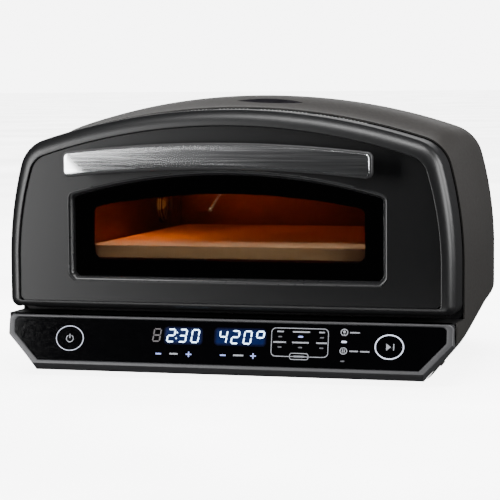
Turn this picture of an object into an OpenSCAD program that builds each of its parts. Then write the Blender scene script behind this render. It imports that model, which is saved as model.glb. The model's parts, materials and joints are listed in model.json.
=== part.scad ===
// Countertop electric pizza oven with a drop-down glass door.
// X points right, Y points back, Z points up. The origin is on the table under the
// middle of the object. Inside the modules the flat front panel of the door lies in
// the plane Y = 0, and centred() moves each finished piece to the origin.

/* [Feet] */
// Height of the rubber feet under the base
foot_h = 7; // [4:0.5:14]
// Radius of a foot
foot_r = 13; // [8:0.5:18]
// Distance of the feet's middle from the casing's side
foot_in = 86.5; // [70:0.5:110]
// Distance of the front feet behind the door's front panel
foot_front_y = 62; // [40:1:100]
// Distance of the rear feet in front of the casing's back
foot_rear_in = 47; // [42:1:90]

/* [Casing] */
// Half the width of the casing
shell_w = 226.5; // [220:0.5:240]
// Height of the casing's crown above the base, at its front edge
shell_top = 256.5; // [250:0.5:270]
// How much higher the crown is further back
crown_rise = 10.2; // [0:0.2:14]
// Radius of the crown at the front
crown_r = 625; // [560:5:800]
// Radius of the bulging side walls
side_r = 370; // [300:5:600]
// Height above the base where the side walls are vertical
side_z = 105; // [90:1:120]
// Radius of the upper corners
corner_r = 38; // [25:1:50]
// Thickness of the casing's sheet
sheet_t = 1.2; // [0.8:0.1:2]
// Where the casing's front edge lies behind the door's front panel
seam_y = 42; // [40.5:0.5:46]
// Where the casing's back lies
back_y = 392; // [380:1:420]
// Where the casing starts to grow narrower
taper_y = 120; // [90:5:160]
// How much narrower each side is at the back
taper_in = 43; // [20:1:46]

/* [Base] */
// Height of the base's side walls' lower corner above the base, at the front
chin_z = 33; // [26:1:40]
// Height of that corner further back
chin_back_z = 64; // [50:1:70]
// Height of the ledge under the door
ledge_z = 53.8; // [48:0.2:56]
// Thickness of the base pan's sheet
pan_t = 1.5; // [1:0.1:2.5]

/* [Control panel] */
// How far the bezel's sides lie inside the casing's
bezel_in = 2; // [1:0.5:8]
// Slant of the control panel in degrees
panel_tilt = 11; // [4:0.5:12]
// How far the control bezel's lower edge stands in front of the door's panel
bezel_out = 10.5; // [8:0.5:20]
// Width of the bezel's rim beside the glass
bezel_rim = 7; // [5:0.5:9]
// Width of the bezel's rim above the glass
bezel_top_rim = 2.8; // [2.5:0.1:6]
// Width of the bezel's rim below the glass
bezel_low_rim = 9.4; // [6:0.1:12]
// Thickness of the control glass
touch_glass_t = 2.5; // [2:0.1:4]
// Distance of the round touch keys' middle from the bezel's side
key_in = 63.5; // [50:0.5:80]
// Height of the touch keys above the base
key_up = 32.2; // [26:0.1:36]
// Radius of the ring round a touch key
key_r = 13.5; // [10:0.5:15]
// Height of the middle of the digits above the base
digit_up = 37.4; // [34:0.1:39]
// Height of the digits' window
digit_h = 14; // [10:0.5:15]

/* [Door] */
// How far the door's sides lie inside the casing's
door_in = 1.5; // [0.5:0.5:8]
// Height of the door's crown above the base
door_top = 254.5; // [246:0.5:255]
// Height of the door's lower edge above the base
door_low = 61.2; // [60:0.2:64]
// Depth of the door's rim
door_t = 38; // [34:0.5:39]
// Width of the rim beside the flat front panel
rim_w = 12.5; // [9:0.5:16]
// Width of the rim above the flat front panel
rim_top_w = 15.5; // [10:0.5:18]
// Width of the rim below the flat front panel
rim_low_w = 6; // [5:0.5:9]
// Thickness of the rim's walls
rim_wall = 3; // [2:0.5:4]
// Thickness of the flat front panel
front_t = 1.6; // [1:0.1:2.5]
// Largest opening of the door in degrees
door_open = 90; // [60:1:92]
// Height of the hinge pins above the base
hinge_z = 68; // [67:0.5:70]
// Distance of the hinge pins behind the flat front panel
hinge_y = 8; // [7:0.5:10]
// Distance of the hinge lugs inside the door's side
hinge_in = 20; // [19:0.5:40]
// Radius of the hinge pins
pin_r = 2.5; // [2:0.1:3]
// Running clearance round a hinge pin
pin_gap = 0.05; // [0.02:0.01:0.08]

/* [Window] */
// Width of the flat door panel beside the window's recess, with the rim
recess_in = 64.2; // [40:0.2:80]
// Height of the recess's lower edge above the base
recess_low = 86.7; // [80:0.1:92]
// Height of the recess's crown above the base
recess_top = 196.2; // [188:0.1:202]
// Depth of the recess in front of the outer glass
recess_d = 8; // [4:0.5:10]
// Width of the recess's stepped frame
recess_rim = 5; // [3:0.5:8]
// Width of the glass's black border at the sides
clear_in = 24.3; // [19:0.1:40]
// Height of the clear glass's lower edge above the base
clear_low = 108; // [100:0.5:112]
// Height of the clear glass's crown above the base
clear_top = 173; // [166:0.5:180]
// Thickness of the door's glass panes
pane_t = 4; // [3:0.5:5]

/* [Handle] */
// Distance of the handle's ends from the door's sides
handle_in = 73.8; // [60:0.2:110]
// Height of the plate's lower edge at its ends, above the base
handle_low = 192.2; // [180:0.2:200]
// Height of the plate
handle_h = 20.7; // [16:0.1:26]
// Rise of the plate from its ends to its middle
handle_rise = 8.7; // [4:0.1:12]
// Distance of the plate's face in front of the door's panel
handle_out = 33; // [28:0.5:40]
// Thickness of the steel plate
handle_plate_t = 1.5; // [1:0.1:2.5]
// Thickness of the grip behind the plate
grip_t = 9; // [7:0.5:12]
// Distance of the handle's posts from its ends
post_in = 15.2; // [11:0.2:60]

/* [Oven] */
// Distance between the casing's side and the oven's cavity
cavity_in = 63.5; // [60:0.5:80]
// Height of the cavity's floor above the base
cavity_floor = 86; // [82:0.5:88]
// Height of the cavity's crown above the base
cavity_top = 226; // [215:0.5:228]
// Depth of the cavity behind the front frame
cavity_d = 322; // [318:1:326]
// Thickness of the cavity's sheet
liner_t = 1; // [0.8:0.1:1.5]
// Gap between the baking stone and the cavity's side walls
stone_gap = 7; // [4:0.5:20]
// Thickness of the baking stone
stone_t = 12; // [10:0.5:14]
// Height of the stone's top above the base
stone_top = 119; // [116:0.5:121]
// Radius of a heating element's tube
tube_r = 3.3; // [3:0.1:4]
// Height of the upper heating elements above the base
upper_z = 200; // [190:0.5:204]
// Height of the lower heating elements above the base
lower_z = 96; // [94:0.5:97]
// Radius of the heating elements' bends
bend_r = 26; // [18:1:30]

/* [Cooling] */
// Radius of the fan's blades
blade_r = 26; // [20:0.5:28]
// Number of fan blades
blade_n = 7; // [5:1:9]
// Height of the fan's shaft above the base
fan_z = 40; // [39:0.5:41]
// Radius of the fan's shaft
shaft_r = 2; // [1.5:0.1:3]
// Half the length of the lens-shaped vent in the crown's front slope, across the oven
vent_r = 34; // [24:1:40]
// Half the depth of that vent
vent_deep = 11; // [8:0.5:13]
// Distance of the vent's middle behind the door's flat panel
vent_y = 86; // [76:1:94]
// Distance of the vent's middle to the right of the oven's middle
vent_x = 22; // [0:1:30]
// Radius of the side walls' vent holes
perf_r = 1.5; // [1:0.1:2]
// Distance between the side walls' vent holes
perf_step = 8; // [6:0.5:12]
// Distance of the first column of vent holes behind the door's panel
perf_y = 246; // [200:1:300]
// Height of the lowest vent hole above the base
perf_z = 92; // [80:1:110]
// Number of vent holes in a column
perf_rows = 14; // [4:1:15]
// Number of columns of vent holes
perf_cols = 3; // [1:1:4]

/* [Hidden] */

$fn = 48;
eps = 0.01;
// Gap between neighbouring flat pieces of one body
fit_gap = 0.3;
// Gap between the closed door and the body
door_gap = 0.4;
// Points along each arc of an outline
arc_n = 6;
crown_n = 16;

// ---------- outlines ----------

// Points on an arc round c, from angle a0 to a1, both included
function arc(c, r, a0, a1, n) =
    [for (i = [0:n]) let (a = a0 + (a1 - a0) * i / n) [c[0] + r * cos(a), c[1] + r * sin(a)]];
function mirrored(pts) = [for (i = [len(pts) - 1:-1:0]) [-pts[i][0], pts[i][1]]];
function smooth(t) = t <= 0 ? 0 : t >= 1 ? 1 : t * t * (3 - 2 * t);

// Centre of the circle that touches both the side's arc and the crown's arc from inside
function corner_centre(c1, r1, c2, r2) =
    let (d = c2 - c1, l = norm(d), a = (r1 * r1 - r2 * r2 + l * l) / (2 * l), h = sqrt(r1 * r1 - a * a))
    c1 + d * a / l + [-d[1], d[0]] * h / l;

// The loaf outline: flat bottom, slanted lower corners, bulging sides, round upper corners and a crown.
// w half width, top crown height, low and chin the slanted corner's ends, foot half width of the bottom
function loaf(w, top, low, chin, foot, rs, rc, r, rl, zs) =
    let (c1 = [w - rs, zs], c2 = [0, top - rc], c = corner_centre(c1, rs - r, c2, rc - r),
         a1 = atan2(c[1] - c1[1], c[0] - c1[0]), a2 = atan2(c[1] - c2[1], c[0] - c2[0]),
         turn = 90 - atan2(chin - low, w - foot),
         right = concat([[foot, low]], arc([w - rl, chin + rl * tan(turn / 2)], rl, -turn, 0, 4),
                        arc(c1, rs, 0, a1, arc_n), arc(c, r, a1, a2, arc_n),
                        [for (i = [1:crown_n]) let (a = a2 + (90 - a2) * i / crown_n) c2 + rc * [cos(a), sin(a)]]))
    concat(right, [for (p = mirrored(right)) if (p[0] < -eps) p]);

// A window outline: straight sides and bottom, arched top
function arched(w, low, top, rc, r) =
    loaf(w, top, low, low + r, w - r, straight_r, rc, r, r * 0.9, low + 2 * r);

base_z = foot_h;

// Widths that follow the casing's, each the half width or the distance from the middle
door_w = shell_w - door_in;
bezel_w = shell_w - bezel_in;
key_x = bezel_w - key_in;
hinge_x = door_w - hinge_in;
recess_w = door_w - recess_in;
clear_w = recess_w - clear_in;
handle_w = door_w - handle_in;
post_x = handle_w - post_in;
foot_x = shell_w - foot_in;
foot_rear_y = back_y - foot_rear_in;
cavity_w = shell_w - cavity_in;
stone_w = 2 * (cavity_w - stone_gap);

// ---------- the casing's sections ----------

// Length over which the crown rises, and over which the lower corner climbs, behind the front
crown_blend = 84;
chin_blend = 190;
// Slant of the lower side walls: how far in they go for each millimetre down, at the front and further back
chin_slant = 0.86;
chin_slant_back = 0.71;
// How much the crown sinks again towards the back, and how much tighter it gets for each millimetre
crown_sink = 24;
crown_tighten = 0.3;
// Smallest radius of an inner corner, and the radius of the lower corners
corner_least = 8;
chin_r = 14;
function back_t(y) = max(0, y - taper_y) / (back_y - taper_y);
function chin_t(y) = smooth((y - bezel_back) / chin_blend);
function sect_w(y) = shell_w - taper_in * back_t(y) * back_t(y);
function sect_top(y) = base_z + shell_top + crown_rise * smooth((y - seam_y) / crown_blend)
                     - crown_sink * back_t(y) * back_t(y);
function sect_chin(y) = base_z + chin_z + (chin_back_z - chin_z) * chin_t(y);
function sect_slant(y) = chin_slant + (chin_slant_back - chin_slant) * chin_t(y);
function sect_foot(y) = sect_w(y) - (sect_chin(y) - base_z) * sect_slant(y);
function sect_crown(y) = crown_r - crown_tighten * max(0, y - seam_y);
// off moves the outline inward; the slanted corner's ends move so that the wall keeps its thickness
function section(y, off, low) =
    loaf(sect_w(y) - off, sect_top(y) - off, low, sect_chin(y) + off * 0.4, sect_foot(y) - off * 1.2,
         side_r - off, sect_crown(y) - off, corner_r - min(off, corner_r - corner_least), chin_r,
         base_z + side_z);

// A solid through outlines, one for each place along Y
module loft(outlines, places) {
    n = len(outlines[0]);
    m = len(outlines);
    polyhedron(
        points = [for (i = [0:m - 1]) for (p = outlines[i]) [p[0], places[i], p[1]]],
        faces = concat([[for (j = [n - 1:-1:0]) j]], [[for (j = [0:n - 1]) (m - 1) * n + j]],
                       [for (i = [0:m - 2]) for (j = [0:n - 1]) let (k = (j + 1) % n)
                        [i * n + j, i * n + k, (i + 1) * n + k, (i + 1) * n + j]]),
        convexity = 6);
}

// A flat plate with the given outline, from y0 to y1
module plate(outline, y0, y1) {
    translate([0, y1, 0]) rotate([90, 0, 0]) linear_extrude(y1 - y0, convexity = 6) polygon(outline);
}

module ring_plate(outer, inner, y0, y1) {
    difference() {
        plate(outer, y0, y1);
        plate(inner, y0 - 1, y1 + 1);
    }
}

module box(x0, x1, y0, y1, z0, z1) {
    translate([x0, y0, z0]) cube([x1 - x0, y1 - y0, z1 - z0]);
}

// A cylinder along Y, from y0 to y1
module rod_y(x, z, r, y0, y1) {
    translate([x, y1, z]) rotate([90, 0, 0]) cylinder(r = r, h = y1 - y0);
}

// A cylinder along X, from x0 to x1
module rod_x(y, z, r, x0, x1) {
    translate([x0, y, z]) rotate([0, 90, 0]) cylinder(r = r, h = x1 - x0);
}

// A flat slab with round corners
module slab(x0, x1, y0, y1, z0, z1, r) {
    box(x0 + r, x1 - r, y0, y1, z0, z1);
    box(x0, x1, y0 + r, y1 - r, z0, z1);
    for (x = [x0 + r, x1 - r]) for (y = [y0 + r, y1 - r])
        translate([x, y, z0]) cylinder(r = r, h = z1 - z0);
}

// How far the cord gland's nut stands behind the casing
inlet_out = 4;
mid_y = (back_y + inlet_out - handle_out) / 2;
// Moves a piece from the door's frame to the middle of the whole object
module centred() {
    translate([0, -mid_y, 0]) children();
}

module both_sides() {
    children();
    mirror([1, 0, 0]) children();
}

// ---------- heights and places used by several pieces ----------

ledge = base_z + ledge_z;
shelf_t = 1.6;
shelf_w = shell_w - sheet_t - fit_gap;
bezel_back = 6;
bezel_low = base_z;
tilt_k = tan(panel_tilt);
// Width of the casing's back edge, and how far the rear cover's edge lies inside the casing
lip = 24;
cover_in = 10;
// Where the rear screws sit, measured from the casing's outline
rear_screw_in = 17;
hinge_zz = base_z + hinge_z;
frame_y = seam_y + 0.5;
frame_t = 1.6;
liner_y0 = frame_y + frame_t;
liner_y1 = liner_y0 + cavity_d;
pan_top = base_z + pan_t;
stone_y0 = liner_y0 + 6;
stone_low = base_z + stone_top - stone_t;
cavity_z = base_z + cavity_floor;

// ---------- outlines of the door, the window and the cavity ----------

// Radii of the arched tops of the window's recess, of the clear glass and of the cavity
recess_crown_r = 578;
clear_crown_r = 700;
cavity_crown_r = cavity_w * cavity_w / 56.5;
// Radius of the side walls of a straight-sided outline
straight_r = 40000;

function door_line(off) =
    loaf(door_w - off, base_z + door_top - off, base_z + door_low + off,
         base_z + door_low + max(7, off + 4), door_w - off - 7, side_r - off, crown_r - off,
         corner_r - 2 - min(off, corner_r - 10), 6, base_z + side_z);
function panel_line(off) =
    let (low = base_z + door_low + rim_low_w + off)
    loaf(door_w - rim_w - off, base_z + door_top - rim_top_w - off, low, low + 4, door_w - rim_w - off - 4,
         side_r - 60, crown_r - 16 - off, corner_r - 16, 4, base_z + side_z);
function recess_line(off) =
    arched(recess_w - off, base_z + recess_low + off, base_z + recess_top - off, recess_crown_r - off, 6);
function clear_line(off) =
    arched(clear_w - off, base_z + clear_low + off, base_z + clear_top - off, clear_crown_r - off, 6);
function cavity_line(off) =
    loaf(cavity_w + off, base_z + cavity_top + off, cavity_z - off, cavity_z - off + 8, cavity_w + off - 8,
         straight_r, cavity_crown_r + off, 40, 7, base_z + side_z);

// ---------- casing and base ----------

// Where the casing's sections lie, and how far each is drawn in to round the back edge
casing_y = [bezel_back, seam_y, 80, 120, 160, 200, 240, 280, 320, 355,
            back_y - 14, back_y - 6, back_y - 2, back_y];
casing_off = [0, 0, 0, 0, 0, 0, 0, 0, 0, 0, 0.6, 3, 7, 12];
casing_n = len(casing_y);

module casing() {
    centred() color("dimgray") difference() {
        loft([for (i = [0:casing_n - 1]) section(casing_y[i], casing_off[i], base_z)], casing_y);
        loft([for (i = [0:casing_n - 1]) section(casing_y[i], min(casing_off[i], 9) + sheet_t, base_z - 1)],
             [for (i = [0:casing_n - 1]) i == 0 ? bezel_back - 1 : min(casing_y[i], back_y - sheet_t)]);
        plate(section(back_y, lip, base_z - 2), back_y - 8, back_y + 2);
        box(-shell_w - 1, shell_w + 1, bezel_back - 2, seam_y, ledge, base_z + shell_top + 20);
        vent_place() vent_lens(0);
        for (s = [-1, 1]) for (c = [0:perf_cols - 1]) for (r = [0:perf_rows - 1])
            translate([s * (shell_w - perf_in), perf_y + c * perf_step, perf_height(c, r)])
                rotate([0, 90, 0]) cylinder(r = perf_r, h = 2 * perf_in + 20, center = true, $fn = 8);
        for (s = [-1, 1]) for (y = chin_screw_y)
            at_chin(s, y) cylinder(r = 2, h = 12, center = true, $fn = 8);
        for (p = rear_screw_places) rod_y(p[0], p[1], 1.8, back_y - 3, back_y + 1, $fn = 8);
    }
}

// Depth inside the casing's side where the vent holes' cutters are centred
perf_in = 26;
// Every second column of vent holes sits half a step higher
function perf_height(c, r) = base_z + perf_z + (r + (c % 2) / 2) * perf_step;

// Holds a child in the crown's vent, square to the crown, which rises to the back there
vent_lean = atan((sect_top(vent_y + 5) - sect_top(vent_y - 5)) / 10);
module vent_place() {
    translate([0, vent_y, sect_top(vent_y)]) rotate([vent_lean, 0, 0]) children();
}

// The vent's outline, two arcs that meet in points, as a prism whose sides lie off inside it
vent_arc = (vent_r * vent_r + vent_deep * vent_deep) / (2 * vent_deep);
module vent_lens(off) {
    intersection() {
        translate([vent_x, vent_deep - vent_arc, 0]) cylinder(r = vent_arc - off, h = 40, center = true);
        translate([vent_x, vent_arc - vent_deep, 0]) cylinder(r = vent_arc - off, h = 40, center = true);
    }
}

// Holds a child on the outside of the slanted lower wall, with its +Z pointing inward
chin_screw_y = [80, 200, 320];
chin_screw_up = 8;
function chin_angle(y) = atan2(sect_chin(y) - base_z, sect_w(y) - sect_foot(y));
module at_chin(s, y) {
    a = chin_angle(y);
    translate([s * (sect_foot(y) + chin_screw_up * cos(a)), y, base_z + chin_screw_up * sin(a)])
        rotate([0, -s * a, 0]) children();
}

module rear_cover() {
    centred() color("#2b2b2b") difference() {
        plate(section(back_y, cover_in, base_z + 2), back_y, back_y + cover_t);
        // Slots behind the fan, and a row of short ones behind the cavity
        for (i = [-8:8])
            box(i * 7 - 1.6, i * 7 + 1.6, back_y - 1, back_y + 3, fan_zz - 20, fan_zz + 20);
        for (i = [-10:10])
            box(i * 8 - 2, i * 8 + 2, back_y - 1, back_y + 3, top_slot_z, top_slot_z + 18);
        for (p = rear_screw_places) rod_y(p[0], p[1], 1.7, back_y - 1, back_y + 3);
        rod_y(inlet_x, inlet_zz, 8.2, back_y - 1, back_y + 3);
    }
}
cover_t = 1.5;
// Height of the upper row of slots
top_slot_z = base_z + shell_top - 80.5;
inlet_x = -shell_w + 114.5;
inlet_zz = base_z + 30;
rear_in = sect_w(back_y) - rear_screw_in;
rear_screw_places = [[-rear_in, base_z + 92], [rear_in, base_z + 92],
                     [-rear_in + 6, base_z + 170], [rear_in - 6, base_z + 170],
                     [-60, sect_top(back_y) - rear_screw_in - 3.8],
                     [60, sect_top(back_y) - rear_screw_in - 3.8]];

// The pan's half outline from back to front, and the gap between its tabs and the slanted walls
pan_edge = concat([[sect_foot(back_y) - 18, back_y - 1.5], [sect_foot(back_y - 12) - 5, back_y - 12]],
                  [for (y = [350:-50:50]) [sect_foot(y) - 2.5, y]], [[bezel_w - 31, bezel_back + 0.5]]);
tab_gap = 1.3;
module base_pan() {
    centred() color("#2d2d2d") difference() {
        union() {
            translate([0, 0, base_z]) linear_extrude(pan_t) polygon(concat(pan_edge, mirrored(pan_edge)));
            for (s = [-1, 1]) for (y = chin_screw_y) at_chin(s, y)
                translate([-chin_screw_up - 1, -9, sheet_t + tab_gap]) cube([2 * chin_screw_up + 2, 18, pan_t]);
        }
        // Two rows of air slots
        for (i = [-9:9]) for (y = [120, 180])
            box(i * 9 - 2, i * 9 + 2, y, y + 40, base_z - 1, pan_top + 1);
        for (p = foot_places) translate([p[0], p[1], base_z - 1]) cylinder(r = 2.3, h = pan_t + 2);
        for (s = [-1, 1]) for (y = chin_screw_y) at_chin(s, y) cylinder(r = 1.5, h = 16, center = true);
    }
}

foot_places = [for (x = [-foot_x, foot_x]) for (y = [foot_front_y, foot_rear_y]) [x, y]];

module feet() {
    centred() color("#1c1c1c") for (p = foot_places) translate([p[0], p[1], 0]) {
        difference() {
            union() {
                cylinder(r = foot_r, h = foot_h - 2);
                translate([0, 0, foot_h - 2]) cylinder(r = foot_r - 2, h = 2);
            }
            translate([0, 0, -1]) cylinder(r = 5, h = 4);
        }
    }
}

module base_screws() {
    centred() color("silver") for (p = foot_places) translate([p[0], p[1], pan_top]) {
        cylinder(r = 4, h = 2.4);
        translate([0, 0, -pan_t]) cylinder(r = 2, h = pan_t + 1);
    }
}

// Sheet front of the body behind the door, with the oven's mouth
module front_frame() {
    centred() color("#3a3a3a") difference() {
        union() {
            plate(loaf(shelf_w, base_z + shell_top - sheet_t - fit_gap, ledge - shelf_t, ledge + 4,
                       shell_w - 8, side_r, crown_r, corner_r - 2, 6, base_z + side_z), frame_y, liner_y0);
            box(-shelf_w, shelf_w, bezel_back, liner_y0, ledge - shelf_t, ledge);
        }
        plate(cavity_line(0), frame_y - 1, liner_y0 + 1);
        for (s = [-1, 1]) for (z = [hinge_zz - 3.5, hinge_zz + 3.5])
            rod_y(s * (hinge_x + lug_t / 2), z, 1.6, frame_y - 1, liner_y0 + 1);
    }
}

// ---------- control panel ----------

function chin_line(w, top, low, chin, foot, r) =
    concat([[-foot, low], [foot, low], [w, chin]], arc([w - r, top - r], r, 0, 90, 4),
           arc([-w + r, top - r], r, 90, 180, 4), [[-w, chin]]);
bezel_foot = bezel_w - chin_z * chin_slant;
function bezel_line(off) =
    chin_line(bezel_w - off, ledge - off, bezel_low + off, base_z + chin_z + off * 0.4,
              bezel_foot - off * 0.55, 5);
function glass_line(off) =
    chin_line(bezel_w - bezel_rim - off, ledge - bezel_top_rim - off, bezel_low + bezel_low_rim + off,
              base_z + chin_z + 3 + off * 0.4, bezel_foot - 3.8 - off * 0.55, 5);

// Leans a piece that is drawn upright at Y = 0 back about the bezel's lower edge
module panel_place() {
    translate([0, -bezel_out, bezel_low]) rotate([-panel_tilt, 0, 0])
        translate([0, 0, -bezel_low]) children();
}

// The bezel seen from its side: a leaning front with a turned-in lower edge
bezel_side = [[-bezel_out + 5, bezel_low - 1], [-bezel_out + 5, bezel_low], [-bezel_out + 0.4, bezel_low + 3],
              [-bezel_out + tilt_k * ledge_z, ledge + 0.01], [bezel_back, ledge + 1],
              [bezel_back, bezel_low - 1]];
module control_bezel() {
    centred() color("#3c3c3c") difference() {
        union() {
            intersection() {
                plate(bezel_line(0), -bezel_out, bezel_back);
                rotate([90, 0, 90]) translate([0, 0, -bezel_w - 1]) linear_extrude(2 * bezel_w + 2)
                    polygon(bezel_side);
            }
            box(-shell_w + 10, shell_w - 10, bezel_back - 2, bezel_back + 9.5, ledge - 5, ledge - shelf_t);
        }
        panel_place() plate(glass_line(0), -6, touch_glass_t);
        panel_place() plate(glass_line(2.5), -6, 60);
    }
}

module control_glass() {
    centred() color("#0b0b0c") panel_place() plate(glass_line(fit_gap / 2), 0, touch_glass_t);
}

digit_z = base_z + digit_up;
key_z = base_z + key_up;
// Left and right ends of the two digit windows
time_x = [-77, -22];
temp_x = [-10.6, 42.7];

module display_window() {
    centred() color("#101828") panel_place() for (x = [time_x, temp_x])
        box(x[0], x[1], touch_glass_t, touch_glass_t + 1, digit_z - digit_h / 2, digit_z + digit_h / 2);
}

module display_digits() {
    centred() color("#9fc4ff") panel_place() for (x = [time_x, temp_x])
        box(x[0] + 2, x[1] - 2, touch_glass_t + 1, touch_glass_t + 7,
            digit_z - digit_h / 2 + 1, digit_z + digit_h / 2 - 1);
}

module touch_key_rings() {
    centred() color("#dfe6f5") panel_place() for (x = [-key_x, key_x]) difference() {
        rod_y(x, key_z, key_r, touch_glass_t, touch_glass_t + 0.8);
        rod_y(x, key_z, key_r - 2, touch_glass_t - 1, touch_glass_t + 2);
    }
}

// Half the length of the control board, and the places of the studs that hold it
board_w = bezel_w - 34.5;
stud_x = [-board_w + 6, -board_w / 2 + 5, board_w / 2 - 5, board_w - 6];
module control_board() {
    centred() color("#1d5a33") panel_place() {
        difference() {
            box(-board_w, board_w, touch_glass_t + 7, touch_glass_t + 8.6, base_z + 16, ledge - 13);
            for (x = stud_x) rod_y(x, base_z + 24, 1.6, touch_glass_t + 6, touch_glass_t + 10);
        }
        box(100, 128, touch_glass_t + 8.6, touch_glass_t + 11, base_z + 22, base_z + 36);
        box(-130, -112, touch_glass_t + 8.6, touch_glass_t + 14, base_z + 24, base_z + 34);
    }
}

module display_holder() {
    centred() color("#d8d8d2") panel_place() {
        for (x = [time_x[0] - 4, time_x[1] + 1, temp_x[1] + 1])
            box(x, x + 3, touch_glass_t, touch_glass_t + 7, digit_z - digit_h / 2, digit_z + digit_h / 2);
        for (x = stud_x) rod_y(x, base_z + 24, 1.5, touch_glass_t, touch_glass_t + 9.5);
    }
}

// ---------- the oven ----------

module cavity_liner() {
    centred() color("silver") difference() {
        plate(cavity_line(liner_t), liner_y0, liner_y1);
        plate(cavity_line(0), liner_y0 - 1, liner_y1 - liner_t);
        for (p = element_ends) rod_y(p[0], p[1], tube_r + 0.4, liner_y1 - 5, liner_y1 + 5);
        rod_x(lamp_y, lamp_zz, lamp_r + 1, -cavity_w - 6, -cavity_w + 6);
        probe_place() translate([0, 0, 40]) cylinder(r = 3.4, h = 80);
    }
}

// Outer distance of the insulation from the cavity
blanket_t = 14;
module insulation_blanket() {
    centred() color("#e9e4d4") difference() {
        plate(cavity_line(blanket_t), liner_y0 + 2, liner_y1 + 8);
        plate(cavity_line(liner_t), liner_y0 - 1, liner_y1);
        for (p = element_ends) rod_y(p[0], p[1], tube_r + 4, liner_y1 - 5, liner_y1 + 12);
        rod_x(lamp_y, lamp_zz, lamp_r + 7, -cavity_w - 20, -cavity_w + 6);
        probe_place() translate([0, 0, 40]) cylinder(r = 6, h = 90);
    }
}

// Where the legs of the wide and the narrow heating tubes lie
leg_x = [cavity_w - 35, cavity_w - 101];
element_ends = [for (s = [-1, 1]) for (x = leg_x) for (z = [upper_z, lower_z]) [s * x, base_z + z]];

// Where the front bars of the wide heating elements lie
bar_y = liner_y0 + 24;
narrow_bar_y = liner_y0 + 84;

// A heating tube bent to a U: legs at both sides run back through the liner's rear wall
module hairpin(x, y0, y1, z) {
    for (s = [-1, 1]) {
        rod_y(s * x, z, tube_r, y0 + bend_r, y1);
        translate([s * (x - bend_r), y0 + bend_r, z]) rotate([0, 0, s > 0 ? 270 : 180])
            rotate_extrude(angle = 90) translate([bend_r, 0]) circle(r = tube_r);
        rod_y(s * x, z, tube_r + 2.2, y1 - 10, y1);
    }
    rod_x(y0, z, tube_r, -x + bend_r, x - bend_r);
}

module upper_element() {
    centred() color("#b8502a") {
        hairpin(leg_x[0], bar_y, liner_y1 + 20, base_z + upper_z);
        hairpin(leg_x[1], narrow_bar_y, liner_y1 + 20, base_z + upper_z);
    }
}

module lower_element() {
    centred() color("#8d4630") {
        hairpin(leg_x[0], bar_y, liner_y1 + 20, base_z + lower_z);
        hairpin(leg_x[1], narrow_bar_y, liner_y1 + 20, base_z + lower_z);
    }
}

clip_y = [liner_y0 + 130, liner_y0 + 250];

// Hangers that hold the upper heating tubes under the cavity's crown
module upper_element_clips() {
    centred() color("gray") difference() {
        intersection() {
            for (y = clip_y) for (s = [-1, 1]) for (x = s * leg_x)
                box(x - tube_r - 2.5, x + tube_r + 2.5, y - 1.5, y + 1.5,
                    base_z + upper_z - tube_r - 2.5, base_z + cavity_top);
            plate(cavity_line(0), liner_y0, liner_y1 - liner_t);
        }
        for (s = [-1, 1]) for (x = s * leg_x)
            rod_y(x, base_z + upper_z, tube_r + 0.1, liner_y0, liner_y1);
    }
}

rail_x = cavity_w - 65;

module stone_rails() {
    centred() color("gray") both_sides() difference() {
        union() {
            box(rail_x - 1.5, rail_x, stone_y0 + 4, liner_y1 - 6, cavity_z, stone_low);
            box(rail_x - 10, rail_x - 1.5, stone_y0 + 4, liner_y1 - 6, cavity_z, cavity_z + 1.2);
            box(rail_x - 10, rail_x - 1.5, stone_y0 + 4, liner_y1 - 6, stone_low - 1.2, stone_low);
        }
        // Notch for the lower heating tube's front bar
        box(rail_x - 11, rail_x + 1, bar_y - tube_r - 1.5, bar_y + tube_r + 1.5,
            cavity_z - 1, base_z + lower_z + tube_r + 1);
    }
}

module baking_stone() {
    centred() color("#d9c7a3")
        slab(-stone_w / 2, stone_w / 2, stone_y0, liner_y1 - stone_gap, stone_low, stone_low + stone_t, 10);
}

// The probe hangs slanted from the crown: its tip's place and its lean
probe_x = -32;
probe_y = liner_y0 + 16;
probe_tip = 155;
probe_lean = 34;
probe_r = 1.2;
probe_len = (cavity_top - probe_tip) / cos(probe_lean) + 8;
module probe_place() {
    translate([probe_x, probe_y, base_z + probe_tip]) rotate([0, probe_lean, 0]) children();
}

module temperature_probe() {
    centred() color("silver") probe_place() {
        cylinder(r = probe_r, h = probe_len);
        sphere(r = probe_r * 1.6);
        translate([0, 0, probe_len - 14]) cylinder(r = 3.2, h = 14);
    }
}

lamp_y = liner_y0 + 255;
lamp_zz = base_z + 145;
lamp_r = 17;

module lamp_cover() {
    centred() color("lightblue") difference() {
        union() {
            rod_x(lamp_y, lamp_zz, lamp_r, -cavity_w - 2, -cavity_w + 5);
            rod_x(lamp_y, lamp_zz, lamp_r + 4, -cavity_w + 0.1, -cavity_w + 2.2);
        }
        rod_x(lamp_y, lamp_zz, lamp_r - 2, -cavity_w - 3, -cavity_w + 3);
    }
}

module lamp_bulb() {
    centred() color("#fff2cc") {
        translate([-cavity_w - 4.5, lamp_y, lamp_zz]) sphere(r = 6.2);
        rod_x(lamp_y, lamp_zz, 4, -cavity_w - 18, -cavity_w - 8);
    }
}

module lamp_socket() {
    centred() color("white") difference() {
        union() {
            rod_x(lamp_y, lamp_zz, 9, -cavity_w - 22, -cavity_w - 11);
            rod_x(lamp_y, lamp_zz, lamp_r + 5, -cavity_w - 15.5, -cavity_w - 14);
            for (s = [-1, 1])
                rod_x(lamp_y + s * (lamp_r + 3.2), lamp_zz, 2, -cavity_w - 14.5, -cavity_w - liner_t);
        }
        rod_x(lamp_y, lamp_zz, 4.1, -cavity_w - 19, -cavity_w - 10);
    }
}

// ---------- cooling and electrics in the base ----------

fan_y = back_y - 30;
fan_zz = base_z + fan_z;

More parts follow.
